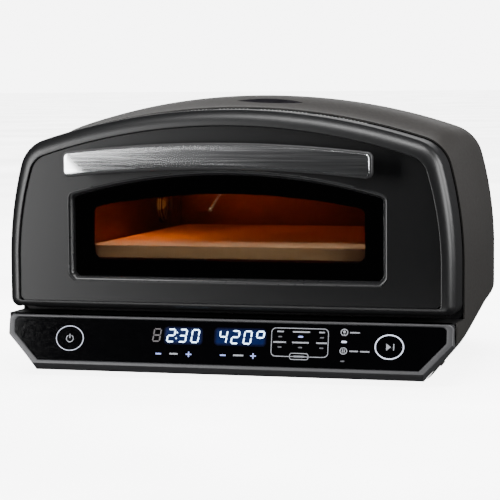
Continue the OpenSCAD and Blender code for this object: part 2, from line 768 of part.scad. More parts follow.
module fan_frame() {
    centred() color("#222222") difference() {
        box(-31, 31, fan_y - 8, fan_y + 12, fan_zz - 31, fan_zz + 31);
        rod_y(0, fan_zz, blade_r + 2, fan_y - 9, fan_y + 13);
        for (x = [-27, 27]) for (z = [-27, 27]) rod_y(x, fan_zz + z, 2, fan_y - 9, fan_y + 13);
    }
    centred() color("#222222") difference() {
        union() {
            for (a = [45, 135]) translate([0, fan_y - 6, fan_zz]) rotate([0, a, 0])
                cube([2 * blade_r + 6, 3, 4], center = true);
            rod_y(0, fan_zz, 13, fan_y - 7.5, fan_y - 4.5);
        }
        rod_y(0, fan_zz, shaft_r + 1, fan_y - 9, fan_y);
    }
}

module fan_motor() {
    centred() color("#444444") difference() {
        rod_y(0, fan_zz, 12, fan_y - 22, fan_y - 7.5);
        rod_y(0, fan_zz, shaft_r + 0.05, fan_y - 18, fan_y);
    }
}

module fan_rotor() {
    centred() color("#333333") {
        rod_y(0, fan_zz, 11, fan_y - 3, fan_y + 9);
        rod_y(0, fan_zz, shaft_r, fan_y - 17, fan_y - 2);
        for (i = [0:blade_n - 1]) translate([0, fan_y + 3, fan_zz]) rotate([0, i * 360 / blade_n, 0])
            translate([(blade_r + 9) / 2, 0, 0]) rotate([38, 0, 0]) cube([blade_r - 9, 1.6, 13], center = true);
    }
}

module fan_bracket() {
    centred() color("gray") difference() {
        union() {
            for (x = [-31, 22]) box(x, x + 9, fan_y + 12, fan_y + 13.5, base_z + pan_t, fan_zz - 22);
            box(-31, 31, fan_y - 8, fan_y + 13.5, base_z + pan_t, fan_zz - 31);
        }
        for (x = [-27, 27]) rod_y(x, fan_zz - 27, 2, fan_y + 11, fan_y + 15);
    }
}

// The power board's near left corner, its size, the height of its underside and of its top
power_x = shell_w - 196.5;
power_y = 90;
power_size = [120, 140];
power_z = base_z + 12;
power_top = power_z + 1.6;
power_holes = [for (x = [6, power_size[0] - 6]) for (y = [6, power_size[1] - 6])
               [power_x + x, power_y + y]];

module power_board() {
    centred() color("#1d5a33") difference() {
        translate([power_x, power_y, power_z]) cube([power_size[0], power_size[1], power_top - power_z]);
        for (p = power_holes) translate([p[0], p[1], power_z - 1]) cylinder(r = 1.6, h = 4);
    }
    // Relays, transformer, capacitors and heat sink
    centred() color("#222222") translate([power_x, power_y, power_top]) {
        for (y = [20, 44]) translate([14, y, 0]) cube([18, 18, 15.4]);
        translate([54, 30, 0]) cube([38, 32, 27.4]);
        for (x = [58, 74, 90]) translate([x, 100, 0]) cylinder(r = 6, h = 20);
        translate([14, 75, 0]) cube([6, 50, 24.4]);
    }
}

module board_standoffs() {
    centred() color("#c9b26a") for (p = power_holes) translate([p[0], p[1], 0]) {
        translate([0, 0, pan_top]) cylinder(r = 3.5, h = power_z - pan_top);
        translate([0, 0, power_z]) cylinder(r = 1.5, h = power_top - power_z);
        translate([0, 0, power_top]) cylinder(r = 3, h = 1.8);
    }
}

module terminal_block() {
    centred() color("#e8e4da") difference() {
        box(inlet_x - 28, inlet_x + 20, back_y - 90, back_y - 68, pan_top, pan_top + 17);
        for (i = [0:2])
            translate([inlet_x - 20 + i * 16, back_y - 79, pan_top + 6]) cylinder(r = 2.4, h = 20);
    }
}

// The safety switch sits in the insulation under the cavity: its middle and the top of its bracket
cutout_x = cavity_w - 93;
cutout_y = liner_y0 + 140;
cutout_top = cavity_z - blanket_t - liner_t - 1;
module thermal_cutout() {
    centred() color("#b0a080") {
        translate([cutout_x, cutout_y, cutout_top - 11]) cylinder(r = 9, h = 9);
        translate([cutout_x, cutout_y, cutout_top - 2]) cylinder(r = 7, h = 4);
        box(cutout_x - 18, cutout_x + 18, cutout_y - 4, cutout_y + 4, cutout_top - 2, cutout_top - 1);
    }
}

module cord_inlet() {
    centred() color("#1a1a1a") difference() {
        union() {
            rod_y(inlet_x, inlet_zz, 8, back_y - 12, back_y + 3.5);
            rod_y(inlet_x, inlet_zz, 11, back_y + 1.5, back_y + inlet_out);
            rod_y(inlet_x, inlet_zz, 10.5, back_y - 12, back_y - sheet_t - 0.1);
        }
        rod_y(inlet_x, inlet_zz, 4, back_y - 13, back_y + 5);
    }
}

// Half the length of a vent slot that lies y in front of or behind the vent's middle
function slot_half(y) = sqrt(pow(vent_arc, 2) - pow(abs(y) + vent_arc - vent_deep, 2)) - 8;
// How deep the vent's grille lies in the crown, and its thickness
vent_sunk = 0.4;
vent_t = 1.6;
module crown_vent() {
    bow = sect_crown(vent_y);
    centred() color("#141414") vent_place() difference() {
        intersection() {
            vent_lens(0.2);
            translate([0, 0, -vent_sunk - bow]) rotate([90, 0, 0]) difference() {
                cylinder(r = bow, h = 3 * vent_r, center = true, $fn = 720);
                cylinder(r = bow - vent_t, h = 3 * vent_r + 2, center = true, $fn = 720);
            }
            box(vent_x - vent_r, vent_x + vent_r, -vent_r, vent_r, -20, 6);
        }
        for (y = [-5.6, 0, 5.6])
            slab(vent_x - slot_half(y), vent_x + slot_half(y), y - 1.3, y + 1.3, -30, 30, 1.2);
    }
}

// Thickness of the washers' film between the casing screws' heads and the slanted wall
head_gap = 0.5;
module casing_screws() {
    centred() color("black") for (s = [-1, 1]) for (y = chin_screw_y) at_chin(s, y) {
        translate([0, 0, -head_gap - 1.6]) cylinder(r = 3.2, h = 1.6);
        translate([0, 0, -head_gap]) cylinder(r = 1.5, h = 7);
    }
}

module rear_screws() {
    centred() color("#555555") for (p = rear_screw_places) {
        rod_y(p[0], p[1], 3.4, back_y + 1.5, back_y + 3.5);
        rod_y(p[0], p[1], 1.5, back_y - 6, back_y + 1.5);
    }
}

// ---------- hinges ----------

lug_t = 4;
lug_r = 5;
knuckle_w = 7;
// Bounds of the pocket in the door round a hinge
pocket_x0 = hinge_x - fit_gap - knuckle_w;
pocket_x1 = hinge_x + lug_t + fit_gap + knuckle_w;
pocket_y = hinge_y - lug_r - 0.5;
module hinge_pocket() {
    both_sides()
        box(pocket_x0, pocket_x1, pocket_y, door_t + 1, base_z + door_low - 5, hinge_zz + lug_r + 1);
}

module hinge_brackets() {
    centred() color("silver") both_sides() difference() {
        union() {
            rod_x(hinge_y, hinge_zz, lug_r, hinge_x, hinge_x + lug_t);
            box(hinge_x, hinge_x + lug_t, hinge_y, frame_y, hinge_zz - lug_r, hinge_zz + 2);
            box(hinge_x - 3, hinge_x + lug_t + 3, frame_y - 1.5, frame_y, hinge_zz - 6, hinge_zz + 6);
        }
        rod_x(hinge_y, hinge_zz, pin_r + pin_gap, hinge_x - 1, hinge_x + lug_t + 1);
        for (z = [hinge_zz - 3.5, hinge_zz + 3.5])
            rod_y(hinge_x + lug_t / 2, z, 1.5, frame_y - 4, frame_y + 1);
    }
}

module bracket_screws() {
    centred() color("gray") both_sides() for (z = [hinge_zz - 3.5, hinge_zz + 3.5]) {
        rod_y(hinge_x + lug_t / 2, z, 1.5, frame_y - 4, liner_y0);
        rod_y(hinge_x + lug_t / 2, z, 2.8, liner_y0, liner_y0 + 2);
    }
}

module hinge_knuckles() {
    centred() color("silver") both_sides() for (x = [pocket_x0, hinge_x + lug_t + fit_gap]) difference() {
        union() {
            rod_x(hinge_y, hinge_zz, lug_r, x, x + knuckle_w);
            box(x, x + knuckle_w, pocket_y, hinge_y, hinge_zz - lug_r, hinge_zz + lug_r);
        }
        rod_x(hinge_y, hinge_zz, pin_r, x - 1, x + knuckle_w + 1);
    }
}

module hinge_pins() {
    centred() color("gray") both_sides() rod_x(hinge_y, hinge_zz, pin_r, pocket_x0, pocket_x1);
}

module door_buffers() {
    centred() color("black") both_sides() for (z = [base_z + 120, base_z + 180])
        rod_y(cavity_w + 24, z, 4, door_t + fit_gap, frame_y);
}

// ---------- door ----------

rim_places = [0, 0.8, 2.2, 4.4, 7.5, 12, door_t];
rim_inset = [6.5, 4, 2.2, 1, 0.3, 0, 0];
rim_front = 2.5;

module door_rim() {
    centred() color("#4a4a4a") difference() {
        loft([for (i = rim_inset) door_line(i)], [for (y = rim_places) y == door_t ? y : y - rim_front]);
        plate(panel_line(0), -rim_front - 1, front_t + 0.4);
        plate(door_line(rim_wall + 7), -0.5, 4 + front_t);
        plate(door_line(rim_wall), 4 + front_t, door_t + 1);
        hinge_pocket();
    }
}

module door_panel() {
    centred() color("#2b2b2c") difference() {
        plate(panel_line(0.25), 0, front_t);
        plate(recess_line(0), -1, front_t + 1);
        for (x = [-post_x, post_x]) rod_y(x, post_z, 2.2, -1, front_t + 1);
    }
}

module window_frame() {
    centred() color("#202020") {
        ring_plate(recess_line(0.2), recess_line(recess_rim * 0.5), 0, 3);
        ring_plate(recess_line(0.2), recess_line(recess_rim), 3, recess_d);
        ring_plate(recess_line(-5), recess_line(0.2), front_t, front_t + 2);
        ring_plate(recess_line(0.2), recess_line(2), recess_d, recess_d + pane_t + 1);
    }
}

module outer_glass() {
    centred() color("#20202066") plate(recess_line(2.3), recess_d, recess_d + pane_t);
}

module glass_mask() {
    centred() color("black")
        ring_plate(recess_line(2.3), clear_line(0), recess_d + pane_t, recess_d + pane_t + 0.4);
}

inner_y = 27;

module inner_glass() {
    centred() color("#aaaaaa55") plate(clear_line(-14), inner_y, inner_y + pane_t - 1);
}

module glass_spacers() {
    centred() color("#777777") {
        ring_plate(clear_line(-12), clear_line(-9), recess_d + pane_t + 0.4, inner_y);
    }
}

module door_liner() {
    centred() color("#2f2f2f") difference() {
        union() {
            plate(door_line(rim_wall + 0.3), door_t - 4, door_t - 2.5);
            ring_plate(clear_line(-17), clear_line(-14.3), inner_y, door_t - 2.5);
        }
        plate(clear_line(-8), door_t - 8, door_t + 1);
        hinge_pocket();
        for (p = door_screw_places) rod_y(p[0], p[1], 1.6, door_t - 8, door_t + 1);
    }
}

module door_gasket() {
    centred() color("#8a8378")
        ring_plate(cavity_line(14), cavity_line(6), door_t - 2.5, frame_y - door_gap);
}

door_screw_places = [for (s = [-1, 1]) for (z = [base_z + 100, base_z + 190]) [s * (cavity_w + 38), z]];

module door_screws() {
    centred() color("silver") for (p = door_screw_places) {
        rod_y(p[0], p[1], 3, door_t - 2.5, door_t - 0.8);
        rod_y(p[0], p[1], 1.5, door_t - 12, door_t - 2.5);
    }
}

// ---------- handle ----------

function handle_arc_r(rise) = (handle_w * handle_w + rise * rise) / (2 * rise);
bow_r = handle_arc_r(handle_rise);
bow_c = base_z + handle_low + handle_rise - bow_r;
post_z = bow_c + sqrt(pow(bow_r + handle_h / 2, 2) - pow(post_x, 2));

// A band of the handle's bow, from half width w and between two radii
function bow_line(w, r0, r1) =
    let (a0 = asin(w / r0), a1 = asin(w / r1), n = 24)
    concat([for (i = [0:n]) let (a = 90 + a0 - 2 * a0 * i / n) [r0 * cos(a), bow_c + r0 * sin(a)]],
           [for (i = [0:n]) let (a = 90 - a1 + 2 * a1 * i / n) [r1 * cos(a), bow_c + r1 * sin(a)]]);

module handle_plate() {
    centred() color("#b4b6b8")
        plate(bow_line(handle_w, bow_r, bow_r + handle_h), -handle_out, -handle_out + handle_plate_t);
}

module handle_grip() {
    centred() color("#1b1b1b") difference() {
        plate(bow_line(handle_w + 2, bow_r - 1.5, bow_r + handle_h + 1.5),
              -handle_out + handle_plate_t, -handle_out + handle_plate_t + grip_t);
        for (x = [-post_x, post_x])
            rod_y(x, post_z, 2.2, -handle_out + handle_plate_t + 3, -handle_out + handle_plate_t + grip_t + 1);
    }
}

module handle_posts() {
    centred() color("#1b1b1b") for (x = [-post_x, post_x]) difference() {
        rod_y(x, post_z, 8, -handle_out + handle_plate_t + grip_t, 0);
        rod_y(x, post_z, 2.2, -handle_out, 1);
    }
}

module handle_screws() {
    centred() color("gray") for (x = [-post_x, post_x]) {
        rod_y(x, post_z, 2, -handle_out + handle_plate_t + 4, front_t);
        rod_y(x, post_z, 4.5, front_t, front_t + 3);
    }
}

casing();
rear_cover();
base_pan();
feet();
front_frame();
control_bezel();
control_glass();
display_window();
display_digits();
touch_key_rings();
control_board();
display_holder();
cavity_liner();
insulation_blanket();
upper_element();
upper_element_clips();
lower_element();
stone_rails();
baking_stone();
temperature_probe();
lamp_bulb();
lamp_socket();
lamp_cover();
fan_frame();
fan_motor();
fan_rotor();
fan_bracket();
power_board();
board_standoffs();
terminal_block();
thermal_cutout();
cord_inlet();
crown_vent();
hinge_brackets();
hinge_pins();
door_buffers();
casing_screws();
rear_screws();
base_screws();
bracket_screws();
door_rim();
door_panel();
window_frame();
outer_glass();
glass_mask();
inner_glass();
glass_spacers();
door_liner();
door_gasket();
hinge_knuckles();
handle_plate();
handle_grip();
handle_posts();
handle_screws();
door_screws();
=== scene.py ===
import json
import math
import bpy
import bmesh
from mathutils import Matrix, Vector


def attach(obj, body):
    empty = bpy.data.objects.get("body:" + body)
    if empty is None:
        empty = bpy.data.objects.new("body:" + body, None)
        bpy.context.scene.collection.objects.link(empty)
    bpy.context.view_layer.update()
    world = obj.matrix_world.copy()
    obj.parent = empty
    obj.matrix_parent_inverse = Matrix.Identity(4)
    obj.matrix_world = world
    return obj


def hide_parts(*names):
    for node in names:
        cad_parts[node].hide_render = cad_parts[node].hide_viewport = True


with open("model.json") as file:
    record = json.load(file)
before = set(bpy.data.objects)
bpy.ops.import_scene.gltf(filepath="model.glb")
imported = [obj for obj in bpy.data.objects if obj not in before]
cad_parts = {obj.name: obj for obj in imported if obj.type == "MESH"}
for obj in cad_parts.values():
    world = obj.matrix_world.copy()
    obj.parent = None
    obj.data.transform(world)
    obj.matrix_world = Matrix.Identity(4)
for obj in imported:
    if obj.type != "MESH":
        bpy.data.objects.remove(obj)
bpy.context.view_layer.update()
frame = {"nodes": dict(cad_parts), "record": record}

nodes = frame["nodes"]
RECORD = frame["record"]

# A countertop pizza oven with a drop-down glass door.
# All lengths below are millimetres, up to place(), which turns a point into the frame's metres.
# Y is counted backwards from the door's flat panel, as in the part's source.
MM = 0.001
# From the flat panel to the frame's middle, and the base's height above the table
MID_Y, BASE = 181.5, 7.0

# Casing: half width, crown's height at the front, its rise behind the door, its radius
SHELL_W, SHELL_TOP, CROWN_RISE, CROWN_R = 226.5, 256.5, 10.2, 625.0
# Length of that rise, the crown's fall towards the back, and how fast its radius shrinks
RISE_RUN, CROWN_FALL, CROWN_TIGHTEN = 84.0, 24.0, 0.3
# Sides: radius of the bulge and height of its middle; upper corners' radius; sheet
SIDE_R, SIDE_Z, CORNER_R, SHEET = 370.0, 105.0, 38.0, 1.2
# Front edge, back, where the sides start to close in and by how much they do
SEAM_Y, BACK_Y, TAPER_Y, TAPER_IN = 42.0, 392.0, 120.0, 43.0
# Slanted lower walls: height at the front and at the back, length between, slope and its loss
CHIN_Z, CHIN_BACK_Z, CHIN_RUN, CHIN_SLOPE, SLOPE_LOSS = 33.0, 64.0, 190.0, 0.86, 0.15
# Radius of the lower corners, and width of the rim round the opening in the back
CHIN_R, LIP = 14.0, 24.0
# Crown vent: half length, half depth, middle
VENT_R, VENT_DEEP, VENT_X, VENT_Y = 34.0, 11.0, 22.0, 86.0
# Side perforations: radius, step, first hole, columns and rows, X of the cutters' middle
PERF_R, PERF_STEP, PERF_Y, PERF_Z, PERF_COLS, PERF_ROWS, PERF_X = 1.5, 8, 246, 92, 3, 14, 205

# Control panel: top edge, back, half width, lean in degrees, how far it stands out
LEDGE, BEZEL_BACK, BEZEL_W, TILT, BEZEL_OUT = BASE + 53.8, 6.0, 224.5, 11.0, 10.5
# Its rims beside, above and below the glass, its corners' radius and the glass's thickness
BEZEL_RIM, BEZEL_TOP_RIM, BEZEL_LOW_RIM, BEZEL_R, GLASS_T = 7.0, 2.8, 9.4, 5.0, 2.5

# Door: half width, top, lower edge, depth, and how much smaller its corners are
DOOR_W, DOOR_TOP, DOOR_LOW, DOOR_T, DOOR_CORNER_IN = 225.0, 254.5, 59.6, 38.0, 2.0
# Its rim: width beside, above and below the panel, wall, lower corners' radius
RIM_W, RIM_TOP_W, RIM_LOW_W, RIM_WALL, RIM_LOW_R = 12.5, 15.5, 7.6, 3.0, 9.5
# Flat panel: how much smaller its sides', crown's and corners' radii are
PANEL_SIDE_IN, PANEL_CROWN_IN, PANEL_CORNER_IN, PANEL_LOW_R = 60.0, 16.0, 16.0, 3.0
# Pockets for the hinge knuckles: sides, front and height of the hinge's axis
POCKET_X, POCKET_Y, HINGE_Z, LUG_CLEAR = (197.7, 216.3), 2.5, 68.0, 6.0
# Window's recess: half width, lower edge, top, depth, radii of its crown and corners
RECESS_W, RECESS_LOW, RECESS_TOP, RECESS_D = 160.8, 86.7, 196.2, 8.0
RECESS_CROWN_R, RECESS_R = 578.0, 7.0

# Handle: half width, lower edge, height, rise of the bow, stand-off, corners' radius
HANDLE_W, HANDLE_LOW, HANDLE_H, HANDLE_RISE, HANDLE_OUT = 151.2, 192.2, 20.7, 8.7, 33.0
HANDLE_R, PLATE_T, GRIP_T = 4.0, 1.5, 9.0
# Its two posts and the radius of their holes
POST_X, POST_HOLE_R = 136.0, 2.2


def place(p):
    """A point of the object in the frame's metres."""
    return (p[0] * MM, (p[1] - MID_Y) * MM, p[2] * MM)


# ---------- outlines ----------

def smooth(t):
    return 0.0 if t <= 0 else 1.0 if t >= 1 else t * t * (3 - 2 * t)


def arc(c, r, a0, a1, n):
    return [(c[0] + r * math.cos(math.radians(a0 + (a1 - a0) * i / n)),
             c[1] + r * math.sin(math.radians(a0 + (a1 - a0) * i / n))) for i in range(n + 1)]


def corner_centre(c1, r1, c2, r2):
    """Where two circles cross, on the outer side."""
    dx, dy = c2[0] - c1[0], c2[1] - c1[1]
    l = math.hypot(dx, dy)
    a = (r1 * r1 - r2 * r2 + l * l) / (2 * l)
    h = math.sqrt(r1 * r1 - a * a)
    return (c1[0] + dx * a / l - dy * h / l, c1[1] + dy * a / l + dx * h / l)


def loaf(w, top, low, chin, foot, rs, rc, r, rl, zs, counts=(6, 16, 14, 22), quarter=False):
    """A flat bottom, lower corners, bulging sides, round upper corners and a crown.

    The lower corners are slanted from foot up to chin, or a quarter round of radius rl.
    rs, rc and r are the radii of the sides, the crown and the upper corners.
    """
    c1, c2 = (w - rs, zs), (0.0, top - rc)
    c = corner_centre(c1, rs - r, c2, rc - r)
    a1 = math.degrees(math.atan2(c[1] - c1[1], c[0] - c1[0]))
    a2 = math.degrees(math.atan2(c[1] - c2[1], c[0] - c2[0]))
    turn = 90 - math.degrees(math.atan2(chin - low, w - foot))
    nl, ns, nc, nt = counts
    if quarter:
        right = [(w - rl, low)] + arc((w - rl, low + rl), rl, -88, 0, nl)
    else:
        knee = chin + rl * math.tan(math.radians(turn / 2))
        right = [(foot, low)] + arc((w - rl, knee), rl, -turn, 0, nl)
    right += arc(c1, rs, 0, a1, ns)[1:] + arc(c, r, a1, a2, nc)[1:] + arc(c2, rc, a2, 90, nt)[1:]
    return right + [(-x, z) for x, z in reversed(right) if x > 1e-6]


def arched(w, low, top, rc, r):
    """Straight sides, a crown, and the same small radius at all four corners."""
    straight = 40000.0
    return loaf(w, top, low, low + r, w - r, straight, rc, r, r * 0.9, low + 2 * r, (8, 3, 8, 22))


def back_t(y):
    return max(0.0, y - TAPER_Y) / (BACK_Y - TAPER_Y)


def sect_w(y):
    return SHELL_W - TAPER_IN * back_t(y) ** 2


def sect_top(y):
    rise = CROWN_RISE * smooth((y - SEAM_Y) / RISE_RUN)
    return BASE + SHELL_TOP + rise - CROWN_FALL * back_t(y) ** 2


def sect_chin(y):
    return BASE + CHIN_Z + (CHIN_BACK_Z - CHIN_Z) * smooth((y - BEZEL_BACK) / CHIN_RUN)


def sect_foot(y):
    slope = CHIN_SLOPE - SLOPE_LOSS * smooth((y - BEZEL_BACK) / CHIN_RUN)
    return sect_w(y) - (sect_chin(y) - BASE) * slope


def section(y, off, low):
    """The casing's outline at y, drawn in by off."""
    crown = CROWN_R - CROWN_TIGHTEN * max(0.0, y - SEAM_Y)
    return loaf(sect_w(y) - off, sect_top(y) - off, low,
                sect_chin(y) + off * 0.4, sect_foot(y) - off * 1.2,
                SIDE_R - off, crown - off, CORNER_R - min(off, CORNER_R - 8), CHIN_R, BASE + SIDE_Z)


def door_line(off):
    """The door's outline, drawn in by off."""
    low = BASE + DOOR_LOW
    return loaf(DOOR_W - off, BASE + DOOR_TOP - off, low + off, low + max(7, off + 4),
                DOOR_W - off - 7, SIDE_R - off, CROWN_R - off,
                CORNER_R - DOOR_CORNER_IN - min(off, CORNER_R - 10),
                max(3.0, RIM_LOW_R - off), BASE + SIDE_Z, quarter=True)


def panel_line(off):
    """The flat panel's outline, drawn in by off."""
    low = BASE + DOOR_LOW + RIM_LOW_W + off
    w = DOOR_W - RIM_W - off
    return loaf(w, BASE + DOOR_TOP - RIM_TOP_W - off, low, low + 4, w - 4,
                SIDE_R - PANEL_SIDE_IN, CROWN_R - PANEL_CROWN_IN - off, CORNER_R - PANEL_CORNER_IN,
                PANEL_LOW_R, BASE + SIDE_Z, quarter=True)


def recess_line(off):
    """The window recess's outline, drawn in by off."""
    return arched(RECESS_W - off, BASE + RECESS_LOW + off, BASE + RECESS_TOP - off,
                  RECESS_CROWN_R - off, max(1.5, RECESS_R - off * 0.6))


def chin_line(w, top, low, chin, foot, r):
    """Round upper corners, straight sides and cut-off lower corners."""
    right = arc((w - r, top - r), r, 0, 90, 8)
    return ([(-foot, low), (foot, low), (w, chin)] + right
            + [(-x, z) for x, z in reversed(right)] + [(-w, chin)])


def bezel_line(off):
    return chin_line(BEZEL_W - off, LEDGE - off, BASE + off, BASE + CHIN_Z + off * 0.4,
                     BEZEL_W - CHIN_Z * CHIN_SLOPE - off * 0.55, BEZEL_R)


def glass_line(off):
    return chin_line(BEZEL_W - BEZEL_RIM - off, LEDGE - BEZEL_TOP_RIM - off,
                     BASE + BEZEL_LOW_RIM + off, BASE + CHIN_Z + 3 + off * 0.4,
                     BEZEL_W - CHIN_Z * CHIN_SLOPE - 3.8 - off * 0.55, BEZEL_R)


def front_line(off):
    """The bezel's leaning front face, which ends above the turned-in lower edge."""
    return chin_line(BEZEL_W - off, LEDGE - off, BASE + 5 + off, BASE + CHIN_Z + 1 + off * 0.4,
                     BEZEL_W - 27.4 - off * 0.55, BEZEL_R)


# Radius of the handle's lower edge and the height of its centre
BOW_R = (HANDLE_W ** 2 + HANDLE_RISE ** 2) / (2 * HANDLE_RISE)
BOW_C = BASE + HANDLE_LOW + HANDLE_RISE - BOW_R


def bow_line(grow):
    """The handle's bow with round ends: grow widens it on every side."""
    w, r0, r1 = HANDLE_W + grow, BOW_R - grow, BOW_R + HANDLE_H + grow
    r = max(0.6, HANDLE_R + grow)

    def on(x, rad):
        return (x, BOW_C + math.sqrt(rad * rad - x * x))
    n = 28
    bottom = [on(-w + r + (2 * w - 2 * r) * i / n, r0) for i in range(n + 1)]
    top = [on(w - r - (2 * w - 2 * r) * i / n, r1) for i in range(n + 1)]
    lo, hi = on(w - r, r0)[1] + r, on(w - r, r1)[1] - r
    right = arc((w - r, lo), r, -90, 0, 6)[1:] + arc((w - r, hi), r, 0, 90, 6)[:-1]
    left = arc((-w + r, hi), r, 90, 180, 6)[1:] + arc((-w + r, lo), r, 180, 270, 6)[:-1]
    return bottom + right + top + left


# Height of the posts, in the middle of the bow
POST_Z = BOW_C + math.sqrt((BOW_R + HANDLE_H / 2) ** 2 - POST_X ** 2)


# ---------- mesh helpers ----------

def ring(outline, y):
    return [(x, y, z) for x, z in outline]


def between(a, b, t, y):
    """A ring at share t of the way from outline a to outline b."""
    return [(p[0] + (q[0] - p[0]) * t, y, p[1] + (q[1] - p[1]) * t) for p, q in zip(a, b)]


def shade(ob, angle):
    """Smooth shading, with edges above the angle left sharp."""
    ob.data.shade_smooth()
    ob.data.set_sharp_from_angle(angle=math.radians(angle))


def mesh_object(name, verts, faces, angle=32):
    me = bpy.data.meshes.new(name)
    me.from_pydata([place(v) for v in verts], [], faces)
    bm = bmesh.new()
    bm.from_mesh(me)
    bmesh.ops.remove_doubles(bm, verts=bm.verts, dist=1e-7)
    bmesh.ops.recalc_face_normals(bm, faces=bm.faces)
    bm.to_mesh(me)
    bm.free()
    ob = bpy.data.objects.new(name, me)
    bpy.context.scene.collection.objects.link(ob)
    shade(ob, angle)
    return ob


def loft(name, rings, loop=False, angle=32):
    """A skin over rings of equal counts: capped at both ends, or closed on itself by loop."""
    n, m = len(rings[0]), len(rings)
    verts = [p for r in rings for p in r]
    faces = []
    for i in range(m if loop else m - 1):
        for j in range(n):
            k, i2 = (j + 1) % n, (i + 1) % m
            faces.append((i * n + j, i * n + k, i2 * n + k, i2 * n + j))
    if not loop:
        faces.append(tuple(range(n - 1, -1, -1)))
        faces.append(tuple((m - 1) * n + j for j in range(n)))
    return mesh_object(name, verts, faces, angle)


def cut(ob, cutters, angle=32):
    """Takes the cutters out of the object and deletes them."""
    for c in cutters:
        m = ob.modifiers.new("cut", "BOOLEAN")
        m.operation, m.solver, m.object = "DIFFERENCE", "EXACT", c
    dg = bpy.context.evaluated_depsgraph_get()
    me = bpy.data.meshes.new_from_object(ob.evaluated_get(dg))
    ob.modifiers.clear()
    old, ob.data = ob.data, me
    bpy.data.meshes.remove(old)
    for c in cutters:
        bpy.data.objects.remove(c)
    shade(ob, angle)


def block(name, lo, hi):
    """A box, for cutting."""
    v = [(x, y, z) for x in (lo[0], hi[0]) for y in (lo[1], hi[1]) for z in (lo[2], hi[2])]
    f = [(0, 1, 3, 2), (4, 6, 7, 5), (0, 4, 5, 1), (2, 3, 7, 6), (0, 2, 6, 4), (1, 5, 7, 3)]
    return mesh_object(name, v, f)


def rods(name, places, axis, half, r, n):
    """Round cutters of one size, along X or Y."""
    verts, faces = [], []
    for c in places:
        b = len(verts)
        for s in (-half, half):
            for i in range(n):
                a = 2 * math.pi * i / n
                u, v = r * math.cos(a), r * math.sin(a)
                d = {"x": (s, u, v), "y": (u, s, v)}[axis]
                verts.append((c[0] + d[0], c[1] + d[1], c[2] + d[2]))
        for i in range(n):
            j = (i + 1) % n
            faces.append((b + i, b + j, b + n + j, b + n + i))
        faces.append(tuple(b + i for i in range(n - 1, -1, -1)))
        faces.append(tuple(b + n + i for i in range(n)))
    return mesh_object(name, verts, faces)


def finish_piece(ob, finish, body, slot, *replaced):
    """Gives a piece its material and body, and hides the CAD nodes it replaces; slot is not used.
    """
    ob.data.materials.append(M[finish])
    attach(ob, body)
    if replaced:
        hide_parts(*replaced)


# ---------- materials ----------

# Index of refraction of every surface
IOR = 1.5
# Share of the noise's range that the ramps and map ranges use
NOISE_LO, NOISE_HI = 0.3, 0.7


def surface(name, colour, rough, spread, grain, metal=0.0, stretch=(1, 1, 1),
            bump=0.0, bump_grain=900.0, rough_spread=0.03, rough_grain=300.0,
            spec=0.5, glow=None, glow_strength=0.0, see=0.0):
    """A finish whose colour, roughness and relief vary with noise.

    spread is how far the colour varies and grain its scale; stretch pulls all the noise.
    bump is the relief in mm; see is the transmission; glow is the colour of its own light.
    """
    mat = bpy.data.materials.new(name)
    mat.use_nodes = True
    nt = mat.node_tree
    sh = nt.nodes["Principled BSDF"]
    sh.inputs["Metallic"].default_value = metal
    sh.inputs["Specular IOR Level"].default_value = spec
    sh.inputs["Transmission Weight"].default_value = see
    sh.inputs["IOR"].default_value = IOR
    co = nt.nodes.new("ShaderNodeTexCoord")
    mp = nt.nodes.new("ShaderNodeMapping")
    mp.inputs["Scale"].default_value = stretch
    nt.links.new(co.outputs["Object"], mp.inputs["Vector"])

    def noise(scale, detail=3.0):
        n = nt.nodes.new("ShaderNodeTexNoise")
        n.inputs["Scale"].default_value = scale
        n.inputs["Detail"].default_value = detail
        nt.links.new(mp.outputs["Vector"], n.inputs["Vector"])
        return n.outputs["Fac"]

    def ranged(fac, lo, hi):
        r = nt.nodes.new("ShaderNodeMapRange")
        r.inputs["From Min"].default_value = NOISE_LO
        r.inputs["From Max"].default_value = NOISE_HI
        r.inputs["To Min"].default_value = lo
        r.inputs["To Max"].default_value = hi
        nt.links.new(fac, r.inputs["Value"])
        return r.outputs["Result"]

    ramp = nt.nodes.new("ShaderNodeValToRGB")
    dark, light = ramp.color_ramp.elements
    dark.position, light.position = NOISE_LO, NOISE_HI
    dark.color = (*[max(0.0, c * (1 - spread)) for c in colour], 1)
    light.color = (*[min(1.0, c * (1 + spread)) for c in colour], 1)
    nt.links.new(noise(grain), ramp.inputs["Fac"])
    nt.links.new(ramp.outputs["Color"], sh.inputs["Base Color"])
    lo, hi = max(0.0, rough - rough_spread), min(1.0, rough + rough_spread)
    nt.links.new(ranged(noise(rough_grain), lo, hi), sh.inputs["Roughness"])
    if bump:
        b = nt.nodes.new("ShaderNodeBump")
        b.inputs["Strength"].default_value = 0.5
        b.inputs["Distance"].default_value = bump * MM
        nt.links.new(noise(bump_grain, 2.0), b.inputs["Height"])
        nt.links.new(b.outputs["Normal"], sh.inputs["Normal"])
    if glow:
        sh.inputs["Emission Color"].default_value = (*glow, 1)
        lit = ranged(noise(grain), glow_strength * 0.85, glow_strength * 1.1)
        nt.links.new(lit, sh.inputs["Emission Strength"])
    return mat


def srgb(text):
    """A colour written as on a screen, in linear values."""
    v = [int(text[i:i + 2], 16) / 255 for i in (1, 3, 5)]
    return tuple(c / 12.92 if c <= 0.04045 else ((c + 0.055) / 1.055) ** 2.4 for c in v)


